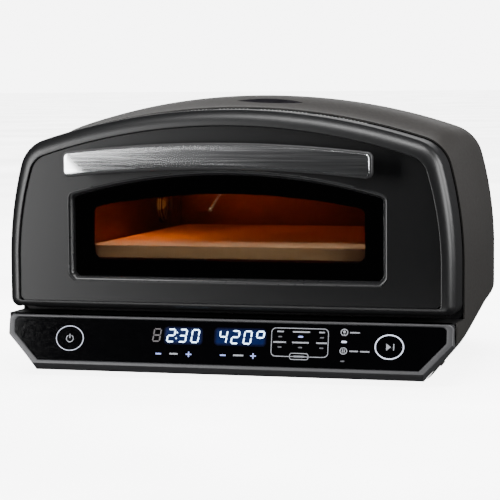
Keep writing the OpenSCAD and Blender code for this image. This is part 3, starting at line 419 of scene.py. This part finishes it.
FINISHES = {
    # Casing, door, panel frame and vents
    "casing_paint": dict(colour=srgb("#1f1d1b"), rough=0.5, spread=0.08, grain=500,
                         bump=0.03, bump_grain=1500),
    "rim_paint": dict(colour=srgb("#121213"), rough=0.38, spread=0.06, grain=500,
                      bump=0.015, bump_grain=1500),
    "panel_paint": dict(colour=srgb("#080809"), rough=0.32, spread=0.06, grain=500,
                        bump=0.008, bump_grain=1500, rough_spread=0.012, spec=0.38),
    "frame_paint": dict(colour=srgb("#1c1c1d"), rough=0.3, metal=0.1, spread=0.06, grain=500,
                        bump=0.01, bump_grain=1500),
    "bezel_plastic": dict(colour=srgb("#3f3f41"), rough=0.45, metal=0.15, spread=0.06, grain=500,
                          bump=0.02, bump_grain=1800),
    "frame_black": dict(colour=srgb("#0b0b0c"), rough=0.6, spread=0.1, grain=400,
                        bump=0.02, spec=0.2),
    # vent lips: near white, a painted highlight on lips of the door's dark paint
    "vent_lip_painted_highlight": dict(colour=srgb("#e8e8e4"), rough=0.35, metal=0.2, spread=0.1, grain=300,
                     bump=0.01),
    "vent_grille": dict(colour=srgb("#0f0d12"), rough=0.8, spread=0.15, grain=400,
                        bump=0.03, spec=0.1),
    # Front and handle
    "touch_glass": dict(colour=srgb("#020203"), rough=0.07, spread=0.1, grain=60,
                        rough_spread=0.02, spec=0.4),
    "grip_plastic": dict(colour=srgb("#2c2c2d"), rough=0.42, spread=0.08, grain=700,
                         bump=0.02, bump_grain=1500),
    "brushed_plate": dict(colour=srgb("#d6d7d8"), rough=0.19, metal=1.0, spread=0.22, grain=22,
                          stretch=(0.5, 1, 60), bump=0.002, bump_grain=30,
                          rough_spread=0.05, rough_grain=26),
    # Pieces of the body
    "black_steel": dict(colour=srgb("#2a2a2b"), rough=0.45, metal=0.3, spread=0.08, grain=300,
                        bump=0.03),
    "foot_rubber": dict(colour=srgb("#161616"), rough=0.8, spread=0.2, grain=500,
                        bump=0.05, spec=0.3),
    "circuit_board": dict(colour=srgb("#1d5a33"), rough=0.4, spread=0.25, grain=250, bump=0.05),
    "white_plastic": dict(colour=srgb("#d8d4ca"), rough=0.45, spread=0.05, grain=200, bump=0.01),
    "bright_steel": dict(colour=srgb("#a9a7a3"), rough=0.28, metal=1.0, spread=0.1, grain=60,
                         stretch=(1, 1, 4), bump=0.02, bump_grain=300),
    "glass_wool": dict(colour=srgb("#e6dfc4"), rough=0.95, spread=0.25, grain=220,
                       stretch=(1, 1, 3), bump=0.6, bump_grain=500, spec=0.1),
    "heater_tube": dict(colour=srgb("#6b4234"), rough=0.5, metal=0.6, spread=0.3, grain=200,
                        bump=0.05, glow=(1.0, 0.16, 0.02), glow_strength=0.06),
    "fired_clay": dict(colour=srgb("#e6d2b2"), rough=0.85, spread=0.16, grain=160,
                       bump=0.12, bump_grain=700, spec=0.3),
    "lamp_glow": dict(colour=srgb("#fff0cc"), rough=0.3, spread=0.05, grain=60,
                      glow=(1.0, 0.5, 0.15), glow_strength=0.6),
    "white_ceramic": dict(colour=srgb("#e8e4da"), rough=0.35, spread=0.05, grain=200, bump=0.02),
    "clear_glass": dict(colour=(0.95, 0.96, 0.95), rough=0.0, spread=0.02, grain=20,
                        rough_spread=0.002, see=1.0),
    "tinted_glass": dict(colour=(0.20, 0.16, 0.13), rough=0.0, spread=0.03, grain=20,
                         rough_spread=0.002, see=1.0),
    "black_plastic": dict(colour=srgb("#1a1a1b"), rough=0.5, spread=0.15, grain=500, bump=0.03),
    "dark_steel": dict(colour=srgb("#4a4a4a"), rough=0.4, metal=0.8, spread=0.12, grain=200,
                       bump=0.02),
    "brass_posts": dict(colour=srgb("#c9a65a"), rough=0.3, metal=1.0, spread=0.1, grain=200,
                        bump=0.01),
    "black_enamel": dict(colour=srgb("#050506"), rough=0.12, spread=0.2, grain=80),
    "gasket_cloth": dict(colour=srgb("#8a8378"), rough=0.95, spread=0.3, grain=900,
                         bump=0.4, spec=0.1),
    "display_plastic": dict(colour=srgb("#1a1c22"), rough=0.3, spread=0.1, grain=200),
    # Lights and prints behind the control glass; the prints and the unlit digit have a faint
    # painted glow
    "digit_light": dict(colour=(0.5, 0.7, 1.0), rough=0.4, spread=0.02, grain=300,
                        glow=(0.55, 0.78, 1.0), glow_strength=5),
    "digit_halo": dict(colour=(0.002, 0.006, 0.03), rough=0.2, spread=0.1, grain=120, spec=0.2,
                       glow=(0.01, 0.06, 0.6), glow_strength=0.075),
    "halo_mid": dict(colour=(0.002, 0.004, 0.02), rough=0.2, spread=0.1, grain=120, spec=0.2,
                     glow=(0.01, 0.05, 0.55), glow_strength=0.045),
    "halo_edge": dict(colour=(0.002, 0.003, 0.01), rough=0.15, spread=0.1, grain=120, spec=0.2,
                      glow=(0.01, 0.04, 0.5), glow_strength=0.018),
    # unlit digit: grey with a faint painted glow
    "unlit_digit_painted_glow": dict(colour=srgb("#4a4648"), rough=0.4, spread=0.1, grain=200,
                      glow=(0.3, 0.27, 0.28), glow_strength=0.12),
    # prints: real print colours with a faint painted glow on top
    "white_print_painted_glow": dict(colour=srgb("#8a8c92"), rough=0.5, spread=0.05, grain=400,
                        glow=(0.75, 0.8, 0.9), glow_strength=0.15),
    "dim_print_painted_glow": dict(colour=srgb("#4c4d52"), rough=0.5, spread=0.1, grain=400,
                      glow=(0.4, 0.4, 0.45), glow_strength=0.08),
    "key_light": dict(colour=srgb("#ccd2e6"), rough=0.4, spread=0.03, grain=300,
                      glow=(0.78, 0.84, 1.0), glow_strength=0.75),
    "mark_blue": dict(colour=srgb("#7f8fd0"), rough=0.4, spread=0.03, grain=300,
                      glow=(0.36, 0.44, 0.95), glow_strength=0.9),
    # Inside the cavity
    "cavity_steel": dict(colour=srgb("#6a4026"), rough=0.36, metal=0.85, spread=0.25, grain=40,
                         stretch=(1, 1, 2), bump=0.05, bump_grain=200),
}
M = {name: surface(name, **finish) for name, finish in FINISHES.items()}

# Each CAD node gets the finish of its slot in the record, apart from these nodes and slots
NODE_FINISH = {"cavity_liner": "cavity_steel", "front_frame": "frame_black",
               "crown_vent": "vent_grille", "casing_screws": "casing_paint"}
SLOT_FINISH = {"display_light": "digit_light"}
for part in RECORD["subparts"]:
    slot = part["material_slot"]
    finish = NODE_FINISH.get(part["node"], SLOT_FINISH.get(slot, slot))
    nodes[part["node"]].data.materials.clear()
    nodes[part["node"]].data.materials.append(M[finish])


# ---------- the casing ----------

def vent_cutter():
    """A prism of the crown vent's outline, two arcs that meet in points, square to the crown."""
    r = (VENT_R ** 2 + VENT_DEEP ** 2) / (2 * VENT_DEEP)
    half = math.degrees(math.asin(VENT_R / r))
    line = arc((VENT_X, VENT_DEEP - r), r, 90 - half, 90 + half, 32)
    line += arc((VENT_X, r - VENT_DEEP), r, 270 - half, 270 + half, 32)[1:-1]
    top = sect_top(VENT_Y)
    a = math.atan((sect_top(VENT_Y + 5) - sect_top(VENT_Y - 5)) / 10)
    c, s = math.cos(a), math.sin(a)
    return loft("vent", [[(x, VENT_Y + y * c - z * s, top + y * s + z * c) for x, y in line]
                         for z in (-20, 20)])


# How far the casing's outline is drawn in at these places, which rounds its back edge
BACK_ROUND = [(0, 0), (370, 0), (378, 0.6), (386, 3), (390, 7), (392, 12)]
# The most that the inner skin is drawn in by that rounding
INNER_ROUND = 9


def back_off(y):
    for (y0, o0), (y1, o1) in zip(BACK_ROUND, BACK_ROUND[1:]):
        if y <= y1:
            return o0 + (o1 - o0) * (y - y0) / (y1 - y0)


def casing():
    ys = [6, 7, 12, 20, 30, 40, 50, *range(60, 371, 10), 376, 380, 383, 386, 388, 390, 391.3, 392]
    outer = loft("casing_shell", [ring(section(y, back_off(y), BASE), y) for y in ys])
    # The last inner rings lie a hair apart, just before the back sheet
    inner_ys = [min(y, BACK_Y - SHEET - 0.0001 * (len(ys) - i)) for i, y in enumerate(ys)]
    inner_ys[0] = BEZEL_BACK - 1
    inner = loft("inner", [ring(section(y, min(back_off(y), INNER_ROUND) + SHEET, BASE - 1), at)
                           for y, at in zip(ys, inner_ys)])
    opening = section(BACK_Y, LIP, BASE - 2)
    back = loft("back", [ring(opening, BACK_Y - 8), ring(opening, BACK_Y + 2)])
    front = block("front", (-SHELL_W - 2, BEZEL_BACK - 2, LEDGE),
                  (SHELL_W + 2, SEAM_Y, BASE + SHELL_TOP + 20))
    # Every second column of perforations sits half a step higher
    holes = [(s * PERF_X, PERF_Y + c * PERF_STEP, BASE + PERF_Z + (r + (c % 2) / 2) * PERF_STEP)
             for s in (-1, 1) for c in range(PERF_COLS) for r in range(PERF_ROWS)]
    perf = rods("perf", holes, "x", 40, PERF_R, 12)
    cut(outer, [inner, back, front, vent_cutter(), perf])
    finish_piece(outer, "casing_paint", "oven", "casing_paint", "casing")


# ---------- the door's rim ----------

# A quarter round from the door's edge to its face, then the small turned-in inner edge, as
# (share of the way to the panel's outline, y)
RIM_PROFILE = [(1 - math.cos(math.radians(a)), 10 - 12.5 * math.sin(math.radians(a)))
               for a in range(0, 82, 5)]
RIM_PROFILE += [(0.93, -2.5), (0.965, -2.45), (0.985, -2.3), (0.996, -2.05), (1.0, -1.7),
                (1.0, 0.6)]


def door_rim():
    outer, inner = door_line(0), panel_line(0)
    flange, wall = door_line(RIM_WALL + 7), door_line(RIM_WALL)
    rings = [ring(outer, DOOR_T), ring(outer, DOOR_T - 0.4), ring(outer, 24)]
    rings += [between(outer, inner, t, y) for t, y in RIM_PROFILE]
    rings += [ring(inner, 2), ring(flange, 2.01), ring(flange, 5.6),
              ring(wall, 5.61), ring(wall, DOOR_T)]
    rim = loft("door_rim_skin", rings, loop=True, angle=28)
    x0, x1 = POCKET_X
    pockets = [block("pocket", (min(s * x0, s * x1), POCKET_Y, BASE + DOOR_LOW - 5),
                     (max(s * x0, s * x1), DOOR_T + 1, BASE + HINGE_Z + LUG_CLEAR))
               for s in (-1, 1)]
    cut(rim, pockets, 28)
    finish_piece(rim, "rim_paint", "door", "rim_paint", "door_rim")


# Groups of small slots in the door's top wall, their pitch, half width and place
LIP_GROUPS = [(-132, -84), (-73, -28), (-14, 14), (28, 73), (84, 132)]
LIP_PITCH, LIP_HALF, LIP_Y = 3.8, 0.5, 35
# A lip's section across the wall, as (y, height above the wall)
LIP_PROFILE = [(-0.9, -0.4), (-0.6, 0.2), (0.6, 0.2), (0.9, -0.4)]


def door_vents():
    """The pressed lips of the slots in the door's top wall, coloured near white as a painted
    highlight.
    """
    top = sorted(p for p in door_line(0) if p[1] > 200)
    verts, faces = [], []
    for x0, x1 in LIP_GROUPS:
        n = round((x1 - x0) / LIP_PITCH)
        for i in range(n + 1):
            x = x0 + (x1 - x0) * i / n
            k = max(j for j in range(len(top) - 1) if top[j][0] <= x)
            (xa, za), (xb, zb) = top[k], top[k + 1]
            slope = (zb - za) / (xb - xa)
            z = za + slope * (x - xa)
            b = len(verts)
            for dy, dz in LIP_PROFILE:
                for dx in (-LIP_HALF, LIP_HALF):
                    verts.append((x + dx, LIP_Y + dy, z + slope * dx + dz))
            faces += [(b, b + 1, b + 3, b + 2), (b + 2, b + 3, b + 5, b + 4),
                      (b + 4, b + 5, b + 7, b + 6), (b, b + 2, b + 4, b + 6),
                      (b + 1, b + 7, b + 5, b + 3), (b, b + 6, b + 7, b + 1)]
    lips = mesh_object("door_vent_lips", verts, faces)
    finish_piece(lips, "vent_lip_painted_highlight", "door", "rim_paint")


# ---------- the window's frame ----------

# One rounded bevel, from the panel's face down into the recess, as (how far in, y)
FRAME_PROFILE = [(-0.1, 1.2), (-0.1, 0.05), (0.1, -0.12), (0.5, -0.15), (1.2, 0.0), (2.0, 0.4),
                 (2.8, 1.05), (3.5, 1.9), (4.1, 2.9), (4.5, 4.0), (4.8, 5.3), (4.95, 6.6),
                 (5.0, RECESS_D), (0.1, RECESS_D), (0.1, 1.6)]


def window_bezel():
    rings = [ring(recess_line(o), y) for o, y in FRAME_PROFILE]
    ob = loft("window_bezel", rings, loop=True, angle=40)
    finish_piece(ob, "frame_paint", "door", "black_enamel", "window_frame")


# ---------- the handle ----------

# Sections of the plate and of the grip behind it, as (how far they widen, y behind their front)
PLATE_PROFILE = [(0.0, PLATE_T), (0.0, 0.75), (-0.15, 0.35), (-0.45, 0.08), (-0.8, 0.0)]
GRIP_PROFILE = [(0.1, 0.0), (1.2, 0.0), (1.7, 0.25), (2.0, 0.8), (2.1, 1.8), (2.1, GRIP_T - 2.5),
                (1.8, GRIP_T - 1.2), (1.1, GRIP_T - 0.3), (0.2, GRIP_T)]


def handle():
    y0, y1 = -HANDLE_OUT, PLATE_T - HANDLE_OUT
    plate = loft("handle_face", [ring(bow_line(g), y0 + d) for g, d in PLATE_PROFILE], angle=24)
    finish_piece(plate, "brushed_plate", "door", "brushed_plate", "handle_plate")
    grip = loft("handle_back", [ring(bow_line(g), y1 + d) for g, d in GRIP_PROFILE], angle=40)
    places = [(s * POST_X, y1 + GRIP_T, POST_Z) for s in (-1, 1)]
    cut(grip, [rods("holes", places, "y", 6, POST_HOLE_R, 24)], 40)
    finish_piece(grip, "grip_plastic", "door", "black_plastic", "handle_grip")


# ---------- control panel ----------

SIN, COS = math.sin(math.radians(TILT)), math.cos(math.radians(TILT))


def lean(x, y, h):
    """A point drawn upright, y behind the panel's face and h above the table, in its place."""
    return (x, -BEZEL_OUT + y * COS + (h - BASE) * SIN, BASE + (h - BASE) * COS - y * SIN)


def lean_ring(outline, y):
    return [lean(x, y, h) for x, h in outline]


# The front face's rounded outer edge, and the step down to the glass, as (how far in, y)
FACE_EDGE = [(0.0, 1.6), (0.25, 0.6), (0.9, 0.1), (1.8, 0.0)]
GLASS_STEP = [(-1.6, 0.0), (-0.9, 0.15), (-0.5, 0.6), (-0.2, 0.9), (0.0, 1.3), (0.0, GLASS_T),
              (2.5, GLASS_T), (2.5, 9)]


def bezel():
    rings = [ring(bezel_line(0), BEZEL_BACK)]
    rings += [lean_ring(bezel_line(0.0), 9.0), lean_ring(bezel_line(0.5), 7.6)]
    rings += [lean_ring(front_line(o), y) for o, y in FACE_EDGE]
    rings += [lean_ring(glass_line(o), y) for o, y in GLASS_STEP]
    rings.append([(p[0], BEZEL_BACK, p[2]) for p in rings[-1]])
    ob = loft("bezel_skin", rings, loop=True, angle=22)
    finish_piece(ob, "bezel_plastic", "oven", "bezel_plastic", "control_bezel")


class Print:
    """Flat marks that lie on the control glass, drawn upright: x sideways, h above the table."""

    def __init__(self, name, proud):
        self.name, self.proud, self.verts, self.faces = name, proud, [], []

    def poly(self, pts):
        b = len(self.verts)
        n = len(pts)
        self.verts += [lean(x, -self.proud, h) for x, h in pts] + [lean(x, 0.0, h) for x, h in pts]
        self.faces.append(tuple(b + i for i in range(n)))
        for i in range(n):
            j = (i + 1) % n
            self.faces.append((b + i, b + n + i, b + n + j, b + j))

    def bar(self, x, h, w, t, r=None):
        """A bar of width w and height t, with round ends unless r is given."""
        r = min(w, t) / 2 if r is None else r
        pts = []
        for sx, sh, a in ((1, 1, 0), (-1, 1, 90), (-1, -1, 180), (1, -1, 270)):
            pts += arc((x + sx * (w / 2 - r), h + sh * (t / 2 - r)), r, a, a + 90, 4)
        self.poly(pts)

    def band(self, x, h, rx, rh, t, a0=0, a1=360, n=48):
        """A ring, or part of one, of half sizes rx and rh and width t."""
        for i in range(n):
            a = math.radians(a0 + (a1 - a0) * i / n)
            b = math.radians(a0 + (a1 - a0) * (i + 1) / n)
            self.poly([(x + (rx - k) * math.cos(c), h + (rh - k) * math.sin(c))
                       for c, k in ((a, 0), (b, 0), (b, t), (a, t))])

    def frame(self, x0, x1, h0, h1, r, t):
        """A thin rectangle with round corners."""
        corners = (((x1 - r, h1 - r), 0), ((x0 + r, h1 - r), 90),
                   ((x0 + r, h0 + r), 180), ((x1 - r, h0 + r), 270))
        o = [p for c, a in corners for p in arc(c, r, a, a + 90, 6)]
        i = [p for c, a in corners for p in arc(c, r - t, a, a + 90, 6)]
        for k in range(len(o)):
            q = (k + 1) % len(o)
            self.poly([o[k], o[q], i[q], i[k]])

    def done(self, finish, slot, *replaced):
        ob = mesh_object(self.name, self.verts, self.faces)
        finish_piece(ob, finish, "oven", slot, *replaced)


# Digits: height of their middle, half width, half height, slant, gap at the segments' ends
DIGIT_Z, DIGIT_HW, DIGIT_HH, DIGIT_SLANT, DIGIT_GAP = 43.6, 3.45, 6.0, 0.14, 0.35
DIGIT_LINES = {"a": ((-DIGIT_HW, DIGIT_HH), (DIGIT_HW, DIGIT_HH)),
               "b": ((DIGIT_HW, 0), (DIGIT_HW, DIGIT_HH)),
               "c": ((DIGIT_HW, -DIGIT_HH), (DIGIT_HW, 0)),
               "d": ((-DIGIT_HW, -DIGIT_HH), (DIGIT_HW, -DIGIT_HH)),
               "e": ((-DIGIT_HW, -DIGIT_HH), (-DIGIT_HW, 0)),
               "f": ((-DIGIT_HW, 0), (-DIGIT_HW, DIGIT_HH)),
               "g": ((-DIGIT_HW, 0), (DIGIT_HW, 0))}
# The lit segments of the glyphs in use; o is the raised ring after the temperature
SEGMENTS = {"0": "abcdef", "2": "abged", "3": "abgcd", "4": "fgbc", "8": "abcdefg", "o": "abfg"}


def digit(pr, x, t, glyph):
    """One seven-segment digit with its middle at x and segments t wide."""
    for s in SEGMENTS[glyph]:
        (x0, z0), (x1, z1) = DIGIT_LINES[s]
        l = math.hypot(x1 - x0, z1 - z0)
        ux, uz = (x1 - x0) / l, (z1 - z0) / l
        g = DIGIT_GAP
        pts = []
        for along, across in ((g, 0), (g + t / 2, t / 2), (l - g - t / 2, t / 2), (l - g, 0),
                              (l - g - t / 2, -t / 2), (g + t / 2, -t / 2)):
            px, pz = x0 + ux * along - uz * across, z0 + uz * along + ux * across
            pts.append((x + px + pz * DIGIT_SLANT, DIGIT_Z + pz))
        pr.poly(pts)


# Middles of the power key's and the start key's rings
POWER_KEY, START_KEY = (-159.0, 38.2), (163.6, 38.2)


def readings():
    """Two readings, a dark digit before them with a faint painted glow, and the glow round them in
    three steps.
    """
    lit = Print("digits_lit", 0.22)
    off = Print("digit_unlit", 0.2)
    halo = Print("digit_halo", 0.1)
    mid = Print("digit_halo_mid", 0.09)
    edge = Print("digit_halo_edge", 0.08)
    digit(off, -68.4, 1.3, "8")
    for x, g in ((-53.8, "2"), (-41.8, "3"), (-29.2, "0")):
        digit(lit, x, 1.35, g)
    for x, h in ((-47.7, 46.6), (-48.6, 40.9)):
        lit.bar(x, h, 1.4, 1.4)
    for x, g in ((-0.8, "4"), (11.4, "2"), (23.8, "0"), (36.3, "o")):
        digit(lit, x, 1.35, g)
    for pr, g in ((halo, -0.9), (mid, 0.3), (edge, 1.6)):
        pr.bar(-41.4, 43.6, 36.4 + 2 * g, 14.0 + 2 * g, 2.5 + g)
        pr.bar(16.2, 43.8, 49.2 + 2 * g, 14.2 + 2 * g, 2.5 + g)
    lit.done("digit_light", "display_light", "display_digits")
    # the unlit digit carries a faint painted glow
    off.done("unlit_digit_painted_glow", "display_light")
    halo.done("digit_halo", "display_plastic", "display_window")
    mid.done("halo_mid", "display_plastic")
    edge.done("halo_edge", "display_plastic")


def control_marks():
    """Plus and minus signs, plain bars in place of words, simple pictograms and the key rings."""
    # Minus and plus under each reading, and the table's lit bar
    marks = Print("marks_blue", 0.12)
    for x, h in ((-66.1, 25.5), (-0.4, 25.8)):
        marks.bar(x, h, 5.6, 1.3, 0.3)
    for x, h in ((-35.2, 25.7), (30.0, 25.9)):
        marks.bar(x, h, 5.6, 1.1, 0.3)
        marks.bar(x, h, 1.1, 5.2, 0.3)
    marks.bar(76.6, 45.7, 4.8, 1.6)
    marks.done("mark_blue", "key_light")

    bright = Print("marks_bright", 0.12)
    bright.bar(119.4, 41.9, 5.4, 1.9)
    bright.done("key_light", "key_light")

    white = Print("marks_white", 0.12)
    for x, h, w in ((-50.6, 25.8, 8.4), (15.1, 26.1, 10.2)):
        white.bar(x, h, w, 1.5, 0.3)
    # The table, its tab, and the bars in both
    white.frame(47.4, 104.2, 26.2, 54.0, 4.6, 0.65)
    white.frame(66.0, 85.0, 23.5, 30.0, 2.4, 0.65)
    white.bar(75.5, 26.7, 10.6, 1.5, 0.3)
    for x, w in ((56.5, 6.6), (77.2, 17.0), (97.5, 5.6)):
        white.bar(x, 50.3, w, 1.3, 0.3)
    for x, w in ((55.9, 12.6), (76.6, 16.4), (97.4, 10.6)):
        white.bar(x, 40.1, w, 1.3, 0.3)
    # Two ringed pictograms, a lamp and a four-part mark, with bars beside them
    for x, h in ((119.4, 51.0), (119.1, 33.3)):
        white.band(x, h, 3.7, 3.4, 0.8)
    white.bar(119.4, 51.6, 2.6, 2.6)
    white.bar(119.4, 49.3, 1.5, 0.7, 0.2)
    for a in (45, 135, 225, 315):
        white.bar(119.1 + 1.3 * math.cos(math.radians(a)), 33.3 + 1.2 * math.sin(math.radians(a)),
                  1.3, 1.3)
    white.bar(129.7, 50.9, 9.4, 1.2, 0.3)
    white.bar(129.2, 33.2, 8.4, 1.2, 0.3)
    white.bar(139.9, 33.1, 9.0, 1.2, 0.3)
    # Power sign, then the start and pause sign
    white.band(POWER_KEY[0], 37.9, 4.0, 3.8, 0.8, 120, 420, 30)
    white.bar(POWER_KEY[0], 40.4, 0.9, 4.2, 0.2)
    white.poly([(160.6, 34.9), (160.6, 41.5), (165.2, 38.2)])
    white.bar(167.8, 38.2, 1.0, 6.2, 0.2)
    # white print with a faint painted glow
    white.done("white_print_painted_glow", "key_light")

    dim = Print("marks_dim", 0.11)
    for x, h in ((56.2, 45.4), (97.6, 45.3), (56.0, 35.4), (76.4, 35.4), (97.3, 35.3),
                 (118.5, 23.5)):
        dim.bar(x, h, 4.0, 1.2)
    # dim print with a faint painted glow
    dim.done("dim_print_painted_glow", "key_light")

    rings = Print("key_rings", 0.15)
    rings.band(*START_KEY, 14.2, 11.9, 1.1, n=96)
    rings.band(*POWER_KEY, 14.4, 12.3, 0.5, n=96)
    rings.done("key_light", "key_light", "touch_key_rings")


# ---------- stage ----------

FLOOR_GLOW = 6.0
# Half length of the floor's side, in metres
FLOOR_HALF = 30.0


def floor():
    """A plain pale floor that glows evenly for the camera alone, as a backlit table does."""
    me = bpy.data.meshes.new("floor")
    s = FLOOR_HALF
    me.from_pydata([(-s, -s, 0), (s, -s, 0), (s, s, 0), (-s, s, 0)], [], [(0, 1, 2, 3)])
    ob = bpy.data.objects.new("floor", me)
    bpy.context.scene.collection.objects.link(ob)
    me.materials.append(surface("floor_white", (0.8, 0.8, 0.8), 0.9, 0.01, 2, spec=0.0,
                                glow=(1.0, 1.0, 1.0), glow_strength=FLOOR_GLOW))
    ob.visible_glossy = False
    ob.visible_diffuse = False
    ob.visible_transmission = False


def area(name, at, to, size, power, colour=(1, 1, 1)):
    """A rectangular light at one point that faces another, both in metres; power in watts."""
    li = bpy.data.lights.new(name, "AREA")
    li.shape, li.size, li.size_y, li.energy, li.color = "RECTANGLE", size[0], size[1], power, colour
    ob = bpy.data.objects.new(name, li)
    ob.location = at
    ob.rotation_euler = (Vector(to) - Vector(at)).to_track_quat("-Z", "Y").to_euler()
    bpy.context.scene.collection.objects.link(ob)
    return ob


def glow(name, at, power, colour):
    """A small soft light inside the cavity, at a point of the object."""
    li = bpy.data.lights.new(name, "POINT")
    li.energy, li.color, li.shadow_soft_size = power, colour, 0.03
    ob = bpy.data.objects.new(name, li)
    ob.location = place(at)
    bpy.context.scene.collection.objects.link(ob)


def lights():
    area("left_wall", (-1.62, -1.99, 0.45), (-0.2, -0.18, 0.16), (1.1, 1.7), 78)
    area("top_front", (0.35, -1.1, 2.3), (0, 0, 0.2), (2.2, 0.6), 75)
    soft = area("top_soft", (-0.2, 1.0, 2.4), (0, 0, 0.15), (2.2, 1.4), 130)
    soft.visible_glossy = False
    area("right_strip", (2.5, -0.75, 0.8), (0.2, -0.1, 0.15), (0.7, 1.6), 62)
    low = area("front_low", (0.0, -0.30, 0.004), (0.0, -0.2, 0.09), (0.6, 0.05), 0.3)
    low.visible_camera = False
    area("back_wash", (-0.9, 2.2, 0.95), (0, 0, 0.25), (2.4, 0.7), 9)
    area("right_fill", (2.6, 0.9, 1.1), (0.2, 0, 0.15), (1.2, 1.6), 60)


def oven_glow():
    """The heater's red light from the cavity's sides and back, and paler light on the stone."""
    z = BASE + 190
    glow("oven_left", (-140, 150, z), 1.5, (1.0, 0.26, 0.03))
    glow("oven_back", (-30, 300, z), 0.12, (1.0, 0.12, 0.01))
    glow("oven_right", (120, 220, z), 0.08, (1.0, 0.1, 0.02))
    front = area("oven_front", place((-20, 48, BASE + 196)), place((-20, 62, BASE + 116)),
                 (0.24, 0.012), 0.8, (1.0, 0.92, 0.84))
    front.data.spread = math.radians(70)


def studio_world():
    """White for the camera, and a faint grey for everything else."""
    w = bpy.data.worlds.new("studio")
    bpy.context.scene.world = w
    w.use_nodes = True
    nt = w.node_tree
    bg = nt.nodes["Background"]
    bg.inputs["Color"].default_value = (0.75, 0.76, 0.78, 1)
    bg.inputs["Strength"].default_value = 0.04
    seen = nt.nodes.new("ShaderNodeBackground")
    seen.inputs["Color"].default_value = (1, 1, 1, 1)
    seen.inputs["Strength"].default_value = FLOOR_GLOW * 1.15
    path = nt.nodes.new("ShaderNodeLightPath")
    mix = nt.nodes.new("ShaderNodeMixShader")
    nt.links.new(path.outputs["Is Camera Ray"], mix.inputs[0])
    nt.links.new(bg.outputs[0], mix.inputs[1])
    nt.links.new(seen.outputs[0], mix.inputs[2])
    nt.links.new(mix.outputs[0], nt.nodes["World Output"].inputs["Surface"])


# The camera as fitted to the photograph: turn, tilt and roll in radians, distance in metres
TURN, DIP, ROLL, DISTANCE = 0.300633162, 0.106313927, -0.00903387679, 2.1543
LENS, SENSOR, SHIFT = 160.56, 36.0, (0.0502, 0.1195)
# Height of the point that it is turned round, on the door's flat panel
AIM_Z = 68.91


def camera():
    fwd = Vector((-math.sin(TURN) * math.cos(DIP), math.cos(TURN) * math.cos(DIP), -math.sin(DIP)))
    level = Vector((math.cos(TURN), math.sin(TURN), 0))
    upright = level.cross(fwd)
    right = math.cos(ROLL) * level + math.sin(ROLL) * upright
    up = -math.sin(ROLL) * level + math.cos(ROLL) * upright
    cam = bpy.data.cameras.new("camera")
    cam.sensor_width, cam.lens = SENSOR, LENS
    cam.shift_x, cam.shift_y = SHIFT
    cam.clip_end = 200
    ob = bpy.data.objects.new("camera", cam)
    at = Vector((0, -MID_Y, AIM_Z)) * MM - fwd * DISTANCE
    ob.matrix_world = Matrix(((right.x, up.x, -fwd.x, at.x), (right.y, up.y, -fwd.y, at.y),
                              (right.z, up.z, -fwd.z, at.z), (0, 0, 0, 1)))
    bpy.context.scene.collection.objects.link(ob)
    bpy.context.scene.camera = ob


camera()
lights()
oven_glow()
studio_world()
floor()
casing()
door_rim()
door_vents()
window_bezel()
handle()
bezel()
readings()
control_marks()
